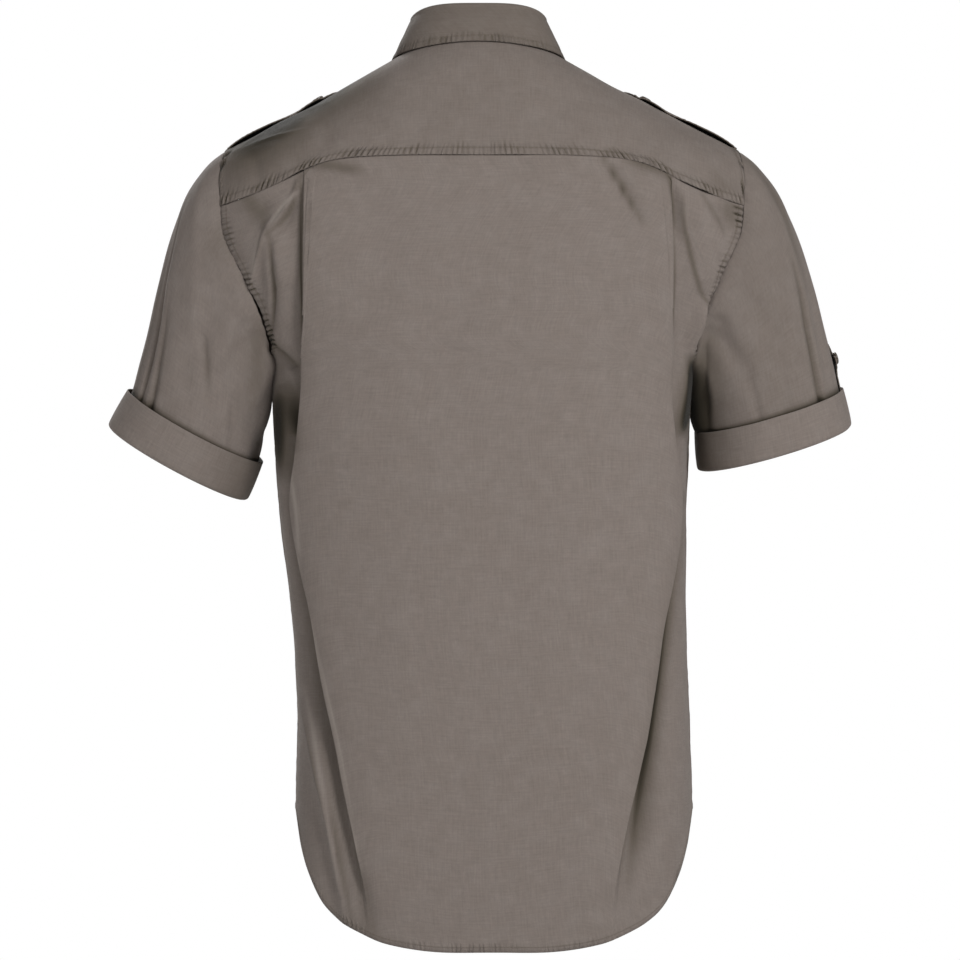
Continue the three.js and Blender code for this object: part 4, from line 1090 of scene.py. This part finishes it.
def cuff(name, sleeve):
    """Turned-up cuff: a closed rounded section, up outside the sleeve and a little way up inside
    it, carried round between the two slanted rings."""
    inside = -CUFF_WALL
    tuck_outside = -CUFF_ROOM - 1.2 - 0.5
    tuck_inside = tuck_outside - 1
    section = rounded([
        (0, 0.0), (0, 0.06), (0.3, 0.3), (0.3, 0.7), (0, 0.9), (-0.4, 0.99), (-3, 1.04),
        (tuck_outside + 1, 1.03), (tuck_inside, 1), (tuck_inside, 0.9), (tuck_inside, 0.82),
        (tuck_outside, 0.82), (tuck_outside, 0.9), (tuck_outside + 0.4, 0.965), (-3.2, 0.975),
        (inside - 0.5, 0.93), (inside, 0.8), (inside, 0.5), (inside, 0.1), (inside, 0.0),
    ], np.linspace(0, 1, 3)[:-1])
    turn = (np.arange(216) / 216)[None]
    angle = 2 * np.pi * turn
    grow, down = section[:, :1], section[:, 1:]
    wave = 0.7 * ripple(np.cos(angle) * 120, np.sin(angle) * 100, 70, 60 + sleeve["side"])
    slack = np.where(grow > inside - 0.6, wave * (1 - 0.5 * step(down, 0.5, 1)), 0)
    high = cuff_point(sleeve["top"], turn, grow + slack)
    low = cuff_point(sleeve["foot"], turn, grow + slack)
    grid = mix(high, low, down[..., None])
    if sleeve["side"] < 0:
        grid = grid * (-1, 1, 1)
    rows, columns = grid.shape[:2]
    closed = np.concatenate([grid, grid[:1]])
    faces = quad_faces(rows + 1, columns, True) % (rows * columns)
    run = turn * SLEEVE_GIRTH * MM
    flat = np.stack(np.broadcast_arrays(run, lengths(closed, 0)[:-1] * MM), -1)
    seam = np.stack(np.broadcast_arrays(run, FAR + 0 * down), -1)
    points = grid.reshape(-1, 3)
    layers = {"cloth": flat.reshape(-1, 2), "seam": seam.reshape(-1, 2)}
    reach, darkness = CUFF_SHADE[name]
    by_body = bell(np.minimum(turn, 1 - turn), 0, reach) * darkness
    hidden = np.where(grow < inside - 0.6, 0.6, 0)
    shade = np.maximum(by_body, hidden).ravel()
    return mesh_object(f"cuff_{name}_cloth", points, facing_out(points, faces), layers, shade=shade)


# Shoulder straps, sleeve tabs and buttons

def on_shoulder(x, y):
    """Turn and way on the wearer's left shoulder at a distance out and forward, both mended step
    by step until the torso reaches the place."""
    turn = 90 - 40 * (y / 60)
    way = np.full(np.shape(turn), 150.0)
    for _ in range(30):
        point = on_torso(turn, way)
        way = np.clip(way + (x - point[..., 0]) * 0.9, 20, 300)
        turn = turn - (y - point[..., 1]) * 0.35
    return turn, way


def shoulder_point(side, x, y, lift):
    turn, way = on_shoulder(x, y)
    return on_shirt(side * turn, way, lift)


def strap_place(share, across):
    out = mix(STRAP["end"], STRAP["sewn"], share)
    half = mix(STRAP["halfEnd"], STRAP["halfSewn"], share)
    point = STRAP["point"] * np.maximum(0, 1 - share * 6) * np.abs(across)
    return out + point, STRAP["middle"] + half * across


def strap_lift(share):
    return STRAP["lift"] + STRAP["arch"] * np.sin(np.pi * share)


def strap_wave(share, across):
    """How far the strap's rear edge stands off: two humps with a dip between them, in place of the
    arch along the strap's middle."""
    outer = 2.6 * np.sin(np.pi * np.clip((share - 0.42) / 0.58, 0, 1))
    inner = 2.2 * np.sin(np.pi * np.clip((share - 0.06) / 0.32, 0, 1))
    arch = 1.1 * STRAP["arch"] * np.sin(np.pi * share)
    return np.clip(across, 0, 1) ** 2 * (outer + inner - arch)


def epaulette(side):
    """Shoulder strap: a grid out along the shoulder, with a blunt point at the neck end."""
    share = np.linspace(0, 1, 64)[:, None]
    across = np.linspace(1, -1, 30)[None]
    share, across = np.broadcast_arrays(share, across)
    x, y = strap_place(share, across)
    grid = shoulder_point(side, x, y, strap_lift(share) + strap_wave(share, across))
    if side < 0:
        grid = grid[:, ::-1]
    seams = [("top", STITCH_STRAP, 0.25, 1, 0.3), *both_ends(STITCH_STRAP, 0.25, 1, 0.3)]
    # The strap's inner side and rims are painted near black, as painted shadow under the strap
    return sewn(f"epaulette_{SIDE_NAMES[side]}_cloth", grid, seams, thickness=DOUBLED,
                lining_shade=1.0)


def on_sleeve(sleeve, turn, down, lift):
    """Place on a sleeve's form moved out by a lift, made for the wearer's left."""
    along = sleeve_form(sleeve, turn, down + 0.02) - sleeve_form(sleeve, turn, down - 0.02)
    across = sleeve_form(sleeve, turn + 0.01, down) - sleeve_form(sleeve, turn - 0.01, down)
    out = unit(np.cross(across, along))
    return sleeve_form(sleeve, turn, down) + out * np.asarray(lift)[..., None]


def tab_point(sleeve, share, off, lift):
    below = mix(-TAB["reach"], TAB["tuck"], share)
    reach = below / np.where(below < 0, SLEEVE_LENGTH, CUFF_HEIGHT)
    point = TAB["point"] * np.maximum(0, 1 - share * 4) * np.abs(off) / SLEEVE_LENGTH
    turn = sleeve["tab_turn"] + off * TAB["half"] / SLEEVE_GIRTH
    return on_sleeve(sleeve, turn, 1 + reach + point, lift)


def tab_lift(share):
    return TAB["lift"] + TAB["arch"] * np.sin(np.pi * np.minimum(1, share * 1.6)) ** 2


def tab(name, sleeve):
    """Sleeve tab: a pointed strap that rises from inside the cuff and lies on the sleeve."""
    share = np.linspace(0, 1, 44)[:, None]
    off = np.linspace(-1, 1, 22)[None]
    share, off = np.broadcast_arrays(share, off)
    grid = hand(tab_point(sleeve, share, off, tab_lift(share)), sleeve["side"])
    seams = [("top", STITCH_STRAP, 0.2, 1, 0.3), *both_ends(STITCH_STRAP, 0.2, 1, 0.3)]
    # The tab's inner side and rims are painted near black, as painted shadow under the tab
    return sewn(f"tab_{name}_cloth", grid, seams, thickness=TAB["thick"], lining_shade=1.0)


BUTTON_SIDES = 48
BUTTON_HOLE = {"out": 1.25, "radius": 0.55, "depth": 0.9}
# Section of a button from the dish at its middle over the rim to its back: radius and height. The
# first rows are the dish.
BUTTON_SECTION = (
    (0.2, 1.7), (0.5, 1.7), (0.8, 1.7), (1.1, 1.7), (1.4, 1.7), (1.7, 1.7), (2.0, 1.7), (2.4, 1.7),
    (3.0, 1.72), (3.5, 1.78), (3.9, 2.0), (4.3, 2.3), (4.6, 2.4), (5.0, 2.38), (5.3, 2.2),
    (5.5, 1.8), (5.5, 1.3), (5.4, 0.8), (5.0, 0.35), (4.2, 0.08), (3.0, 0), (0.2, 0),
)
BUTTON_DISH = 10
THREAD_REACH = 1.3


def button(name, point, direction):
    """Four-hole button: a turned section of radius and height, with four sunk holes in its dish.
    The thread crosses between the holes."""
    profile = np.array(BUTTON_SECTION)
    angle = np.arange(BUTTON_SIDES) * 2 * np.pi / BUTTON_SIDES
    r, z = profile[:, :1], profile[:, 1:]
    x, y = r * np.cos(angle), r * np.sin(angle)
    z = np.broadcast_to(z, x.shape).copy()
    upper = np.broadcast_to(np.arange(len(profile))[:, None] < BUTTON_DISH, x.shape)
    for a in (-1, 1):
        for b in (-1, 1):
            away = np.hypot(x - a * BUTTON_HOLE["out"], y - b * BUTTON_HOLE["out"])
            sink = BUTTON_HOLE["depth"] * (1 - step(away, 0.3, BUTTON_HOLE["radius"] + 0.25))
            z -= sink * upper
    turned = np.array(Vector((0, 0, 1)).rotation_difference(Vector(direction)).to_matrix())
    local = np.stack([x, y, z], -1).reshape(-1, 3)
    points = local @ turned.T + point
    faces = quad_faces(len(profile), BUTTON_SIDES, True)
    last = (len(profile) - 1) * BUTTON_SIDES
    tight = facing_out(local, faces)
    caps = [range(BUTTON_SIDES), range(last + BUTTON_SIDES - 1, last - 1, -1)]
    piece = mesh_object(name + "_turned", points, tight, caps=caps)
    span = np.linspace(-THREAD_REACH, THREAD_REACH, 9)
    for slant in (1, -1):
        line = np.stack([span, span * slant, 1.95 - 0.5 * (span / THREAD_REACH) ** 4], -1)
        line = line @ turned.T + point
        normal = np.repeat([turned @ (0, 0, 1)], len(span), 0)
        sew("stitches_buttons", line, normal, sink=0)
    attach(piece, "root")
    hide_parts(name)
    return piece


# Materials

class Value:
    """A number that varies over a surface: a wrapped socket whose arithmetic adds Math nodes."""

    def __init__(self, nodes, socket):
        self.nodes = nodes
        self.socket = socket

    def __add__(self, other):
        return self.nodes.math("ADD", self, other)

    __radd__ = __add__

    def __sub__(self, other):
        return self.nodes.math("SUBTRACT", self, other)

    def __rsub__(self, other):
        return self.nodes.math("SUBTRACT", other, self)

    def __mul__(self, other):
        return self.nodes.math("MULTIPLY", self, other)

    __rmul__ = __mul__


class Finish:
    """A material's nodes: make adds any node from its type, its settings and its sockets."""

    def __init__(self, name, **fixed):
        self.material = bpy.data.materials.new(name)
        self.material.use_nodes = True
        self.tree = self.material.node_tree
        self.shader = next(n for n in self.tree.nodes if n.type == "BSDF_PRINCIPLED")
        for socket, value in fixed.items():
            self.shader.inputs[socket.replace("_", " ")].default_value = value

    def plug(self, socket, value):
        if isinstance(value, Value):
            value = value.socket
        if isinstance(value, bpy.types.NodeSocket):
            self.tree.links.new(value, socket)
        else:
            socket.default_value = value

    def make(self, kind, settings=None, **inputs):
        node = self.tree.nodes.new("ShaderNode" + kind)
        for setting, value in (settings or {}).items():
            setattr(node, setting, value)
        for socket, value in inputs.items():
            numbered = socket[0] == "i" and socket[1:].isdigit()
            self.plug(node.inputs[int(socket[1:]) if numbered else socket.replace("_", " ")], value)
        return node

    def math(self, operation, *values, clamp=False):
        node = self.make("Math", {"operation": operation, "use_clamp": clamp})
        for socket, value in zip(node.inputs, values):
            self.plug(socket, value)
        return Value(self, node.outputs[0])

    def noise(self, where, scale, detail=2.0):
        node = self.make("TexNoise", None, Vector=where, Scale=scale, Detail=detail)
        return Value(self, node.outputs["Factor" if "Factor" in node.outputs else "Fac"])

    def fading(self, value, start, end):
        """1 up to the start, falling smoothly to 0 at the end."""
        node = self.make("MapRange", {"interpolation_type": "SMOOTHSTEP"}, Value=value,
                         i1=start, i2=end, i3=1.0, i4=0.0)
        return Value(self, node.outputs[0])

    def blend(self, share, a, b, mode="MIX"):
        node = self.make("Mix", {"data_type": "RGBA", "blend_type": mode}, i0=share, i6=a, i7=b)
        return node.outputs[2]

    def bump(self, height, distance, strength=1.0, normal=None):
        node = self.make("Bump", None, Height=height, Distance=distance, Strength=strength)
        if normal is not None:
            self.plug(node.inputs["Normal"], normal)
        return node.outputs["Normal"]


def colour(red, green, blue):
    """Linear colour from the 0 to 255 values of a screen."""
    share = np.array((red, green, blue)) / 255
    linear = np.where(share <= 0.04045, share / 12.92, ((share + 0.055) / 1.055) ** 2.4)
    return (*linear.tolist(), 1.0)


# Taupe cotton: its main tone, the lighter and darker ones that it varies between, the stitched
# line, a painted highlight along a crest, and the painted shade in a hollow, warm where it is faint
TAUPE = colour(129, 119, 113)
TAUPE_LIGHT = colour(133, 124, 118)
TAUPE_DARK = colour(125, 115, 108)
TAUPE_SEAM = colour(98, 89, 80)
CREST_HIGHLIGHT = colour(158, 149, 141)
SHADE_WARM = colour(77, 69, 57)
SHADE_DEEP = colour(29, 26, 19)
# Pitch of the yarns and of the finest puckers, and the slubs' fineness across and along a yarn,
# all in metres or per metre
YARN = 0.00052
PUCKER = 0.0047
SLUB = (760.0, 50.0)


def cotton():
    """Brushed plain-weave cotton: mottled tone, fine yarns both ways, slubs, darker stitching, the
    painted shade in the hollows and a painted highlight along crests."""
    f = Finish("taupe_cotton", Roughness=0.86, Sheen_Weight=0.05, Sheen_Roughness=0.45, IOR=1.42)
    f.shader.inputs["Specular IOR Level"].default_value = 0.28
    place = f.make("TexCoord").outputs["Object"]
    flat = f.make("UVMap", {"uv_map": "cloth"}).outputs[0]
    parts = f.make("SeparateXYZ", None, Vector=flat)
    across, down = Value(f, parts.outputs[0]), Value(f, parts.outputs[1])
    near = f.make("SeparateXYZ", None, Vector=f.make("UVMap", {"uv_map": "seam"}).outputs[0])
    share = Value(f, near.outputs[1])

    warp = f.math("SINE", across * (2 * math.pi / YARN))
    weft = f.math("SINE", down * (2 * math.pi / YARN))
    weave = warp * weft
    stretched, crossways = (
        f.make("Mapping", None, Vector=flat, Scale=(*scale, 1.0)).outputs[0]
        for scale in (SLUB, SLUB[::-1]))
    slubs = f.noise(stretched, 1.0, 1.0) + f.noise(crossways, 1.0, 1.0)
    cloudy = f.noise(place, 9.0, 3.0)
    mottle = f.noise(place, 70.0, 4.0)
    speck = f.noise(place, 420.0, 2.0)

    tone = f.math("MULTIPLY_ADD", cloudy - 0.5, 0.9, 0.5, clamp=True)
    base = f.blend(tone, TAUPE_DARK, TAUPE)
    lighter = f.math("MULTIPLY", (mottle - 0.42) * 2.2, 1.0, clamp=True)
    base = f.blend(lighter, base, TAUPE_LIGHT)
    yarns = (slubs - 1.0) + (speck - 0.5) * 0.7 + weave * 0.05
    fine = f.math("MULTIPLY_ADD", yarns, 0.22, 0.5, clamp=True)
    grey = f.make("CombineColor", None, Red=fine, Green=fine, Blue=fine).outputs[0]
    base = f.blend(0.55, base, grey, "OVERLAY")
    groove = f.fading(f.math("ABSOLUTE", share - 1.0), 0.0, 0.22)
    base = f.blend(groove * 0.6, base, TAUPE_SEAM)
    # The shade attribute is painted light and shade: below 0 it is a painted highlight along
    # crests, and above 0 it is painted shade, warm where faint and near black where strong
    hollow = Value(f, f.make("Attribute", {"attribute_name": "shade"}).outputs["Fac"])
    base = f.blend(f.math("MULTIPLY", hollow, -1.0, clamp=True), base, CREST_HIGHLIGHT)
    base = f.blend(f.math("MULTIPLY", hollow, 1.15, clamp=True), base, SHADE_WARM)
    base = f.blend(f.math("MULTIPLY_ADD", hollow, 2.2, -1.3, clamp=True), base, SHADE_DEEP)
    f.plug(f.shader.inputs["Base Color"], base)
    f.plug(f.shader.inputs["Roughness"], 0.82 + 0.1 * mottle)

    soft = f.noise(place, 55.0, 3.0)
    normal = f.bump(soft, 0.0009, 0.5)
    along = Value(f, near.outputs[0])
    wander = f.noise(f.make("CombineXYZ", None, X=along, Y=share * 0.0015).outputs[0], 95.0, 2.0)
    pinched = f.math("SINE", along * (2 * math.pi / PUCKER) + 14.0 * wander)
    patchy = f.math("MULTIPLY_ADD", f.noise(place, 38.0, 1.0) - 0.5, 4.0, 0.5, clamp=True)
    normal = f.bump(pinched * f.fading(share, 1.1, 2.1) * patchy, 0.0007, 0.8, normal)
    normal = f.bump(weave * 0.5 + slubs, 0.00011, 0.6, normal)
    f.plug(f.shader.inputs["Normal"], normal)
    return f.material


def thread():
    """Sewing thread: the cloth's own tone, a little smoother, twisted finely along its length."""
    f = Finish("sewing_thread", Base_Color=colour(112, 102, 93), Roughness=0.6, Sheen_Weight=0.1)
    place = f.make("TexCoord").outputs["Object"]
    twist = f.noise(place, 1500.0, 1.0)
    f.plug(f.shader.inputs["Base Color"], f.blend(twist, colour(98, 88, 79), colour(124, 114, 105)))
    f.plug(f.shader.inputs["Normal"], f.bump(twist, 0.00006, 0.5))
    return f.material


def horn():
    """Dull buttons in a dark taupe resin with faint clouds."""
    f = Finish("button_resin", Base_Color=colour(84, 76, 68), Roughness=0.36, Coat_Weight=0.15)
    place = f.make("TexCoord").outputs["Object"]
    cloud = f.noise(place, 260.0, 3.0)
    f.plug(f.shader.inputs["Base Color"], f.blend(cloud, colour(70, 62, 54), colour(99, 90, 80)))
    f.plug(f.shader.inputs["Roughness"], 0.3 + 0.16 * cloud)
    f.plug(f.shader.inputs["Normal"], f.bump(f.noise(place, 900.0, 2.0), 0.00003, 0.4))
    return f.material


# The shirt: each cloth piece with the solid it stands for and the flat size it was cut to

def sheet_of(piece, node, flat, held, area, rests_on):
    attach(piece, "root")
    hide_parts(node)
    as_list(rests_on)


COTTON = cotton()
THREAD = thread()
HORN = horn()


def wear(piece, material):
    piece.data.materials.append(material)
    return piece


def dress():
    """Every piece with its flat size in metres: width across, length down and the cut's area."""
    cloths = [
        (back_panel(), "back_panel", (0.54, 0.71), 0.34, "hung", ["yoke"]),
        (yoke(), "yoke", (0.50, 0.22), 0.075, "draped", ["collar_stand"]),
        (front(1), "front_left", (0.30, 0.72), 0.18, "hung", ["yoke"]),
        (front(-1), "front_right", (0.30, 0.72), 0.18, "hung", ["yoke"]),
        (placket(), "placket", (0.035, 0.70), 0.024, "hung", ["front_left"]),
        (collar_stand(), "collar_stand", (0.44, 0.042), 0.0148, "stretched", ["yoke"]),
        (collar_fall(), "collar_fall", (0.50, 0.065), 0.022, "folded", ["collar_stand"]),
    ]
    for name, sleeve in SLEEVES.items():
        side, under = sleeve["side"], f"sleeve_{name}"
        cloths += [
            (sleeve_cloth(name, sleeve), f"sleeve_{name}", (0.44, 0.25), 0.075, "hung", ["yoke"]),
            (cuff(name, sleeve), f"cuff_{name}", (0.41, 0.045), 0.018, "folded", [under]),
            (epaulette(side), f"epaulette_{name}", (0.05, 0.105), 0.005, "laid", ["yoke"]),
            (tab(name, sleeve), f"tab_{name}", (0.027, 0.045), 0.0011, "laid", [under]),
        ]
    for piece, node, flat, area, held, rests_on in cloths:
        sheet_of(wear(piece, COTTON), node, flat, held, area, rests_on)


def front_buttons():
    """Name, seat and direction of each front button, from the stand down."""
    high = stand_point(np.float64(180.0), np.float64(0.5))
    yield "button_stand", high + (0, -BUTTON_SEAT, 0), (0, -1, 0.12)
    neck = on_torso(180.0, 0.0)[2]
    for number, drop in enumerate(FRONT_BUTTON_DROPS, 1):
        way = solve(lambda at: neck - drop - on_torso(180.0, at)[..., 2], 0.0, 899.0)
        turn = turn_at(0, way, "front")
        out = torso_normal(turn, way)
        yield f"button_{number}", on_shirt(turn, way, PLACKET_LIFT + BUTTON_SEAT), out


def strap_button(side):
    share = np.float64(STRAP["button"])
    x, y = strap_place(share, 0.0)

    def point(dx, dy):
        return shoulder_point(side, x + dx, y + dy, strap_lift(share))

    out = unit(np.cross(point(2, 0) - point(-2, 0), point(0, 2) - point(0, -2)))
    out = out * np.sign(out[2])
    return point(0, 0) + out * STRAP["seat"], out


def tab_button(sleeve):
    lift = tab_lift(TAB["button"])
    share, off = np.float64(TAB["button"]), np.float64(0.0)
    point = tab_point(sleeve, share, off, lift)
    out = unit(tab_point(sleeve, share, off, lift + 2) - point)
    point = point + out * TAB["seat"]
    return (point * (sleeve["side"], 1, 1), out * (sleeve["side"], 1, 1))


def fasten():
    for name, point, out in front_buttons():
        wear(button(name, point, unit(np.array(out, float))), HORN)
    for name, sleeve in SLEEVES.items():
        wear(button(f"button_epaulette_{name}", *strap_button(sleeve["side"])), HORN)
        wear(button(f"button_tab_{name}", *tab_button(sleeve)), HORN)


dress()
fasten()
for name, runs in sewing.items():
    stitches = wear(stitch_piece(name, runs), THREAD)
    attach(stitches, "root")


# Camera, light and floor

# In metres, but the floor, as a mesh, in millimetres
CAMERA_AWAY = 14.0
PICTURE_WIDTH = 0.8448
PICTURE_MIDDLE = Vector((0.00176, 0, -0.3681))
SENSOR = 36.0
SKY_LIGHT = 0.26
FLOOR_AT = -950.0
FLOOR_REACH = 2400.0
FLOOR_MIDDLE = 1000.0


def camera():
    data = bpy.data.cameras.new("camera")
    data.sensor_width = SENSOR
    data.lens = SENSOR * CAMERA_AWAY / PICTURE_WIDTH
    data.clip_end = 60
    holder = bpy.data.objects.new("camera", data)
    holder.location = PICTURE_MIDDLE + Vector((0, CAMERA_AWAY, 0))
    holder.rotation_euler = (math.pi / 2, 0, math.pi)
    bpy.context.scene.collection.objects.link(holder)
    bpy.context.scene.camera = holder


def soft_light(name, place, size, power):
    data = bpy.data.lights.new(name, "AREA")
    data.shape = "DISK"
    data.size = size
    data.energy = power
    holder = bpy.data.objects.new(name, data)
    holder.location = place
    holder.rotation_euler = (PICTURE_MIDDLE - Vector(place)).to_track_quat("-Z", "Y").to_euler()
    bpy.context.scene.collection.objects.link(holder)


def studio():
    """Wide pale floor under a white sky, a soft main light and a weaker one across from it."""
    angle = np.arange(96) * 2 * np.pi / 96
    ring = np.stack([np.cos(angle), np.sin(angle), 0 * angle], -1)
    points = np.concatenate([ring * FLOOR_REACH, ring * FLOOR_MIDDLE]) + (0, 0, FLOOR_AT)
    middle = range(len(angle), 2 * len(angle))
    floor = mesh_object("studio_floor", points, quad_faces(2, len(angle), True), caps=[middle])
    pale = Finish("pale_floor", Base_Color=(0.9, 0.9, 0.9, 1), Roughness=0.9,
                  Emission_Color=(1, 1, 1, 1), Emission_Strength=0.6)
    grain = pale.noise(pale.make("TexCoord").outputs["Object"], 3.0)
    pale.plug(pale.shader.inputs["Roughness"], 0.85 + 0.1 * grain)
    wear(floor, pale.material)
    world = bpy.data.worlds.new("white_sky")
    world.use_nodes = True
    sky = world.node_tree.nodes["Background"]
    seen = world.node_tree.nodes.new("ShaderNodeLightPath").outputs["Is Camera Ray"]
    glow = world.node_tree.nodes.new("ShaderNodeMapRange")
    glow.inputs["To Min"].default_value = SKY_LIGHT
    world.node_tree.links.new(seen, glow.inputs["Value"])
    world.node_tree.links.new(glow.outputs[0], sky.inputs["Strength"])
    sky.inputs["Color"].default_value = (1, 1, 1, 1)
    bpy.context.scene.world = world
    bpy.context.scene.view_settings.view_transform = "Standard"
    soft_light("main_light", (-2.3, 4.4, 2.6), 1.5, 192)
    soft_light("side_light", (3.4, 2.6, 0.6), 2.0, 8)
    soft_light("front_light", (1.6, -4.6, 2.2), 1.8, 170)


camera()
studio()
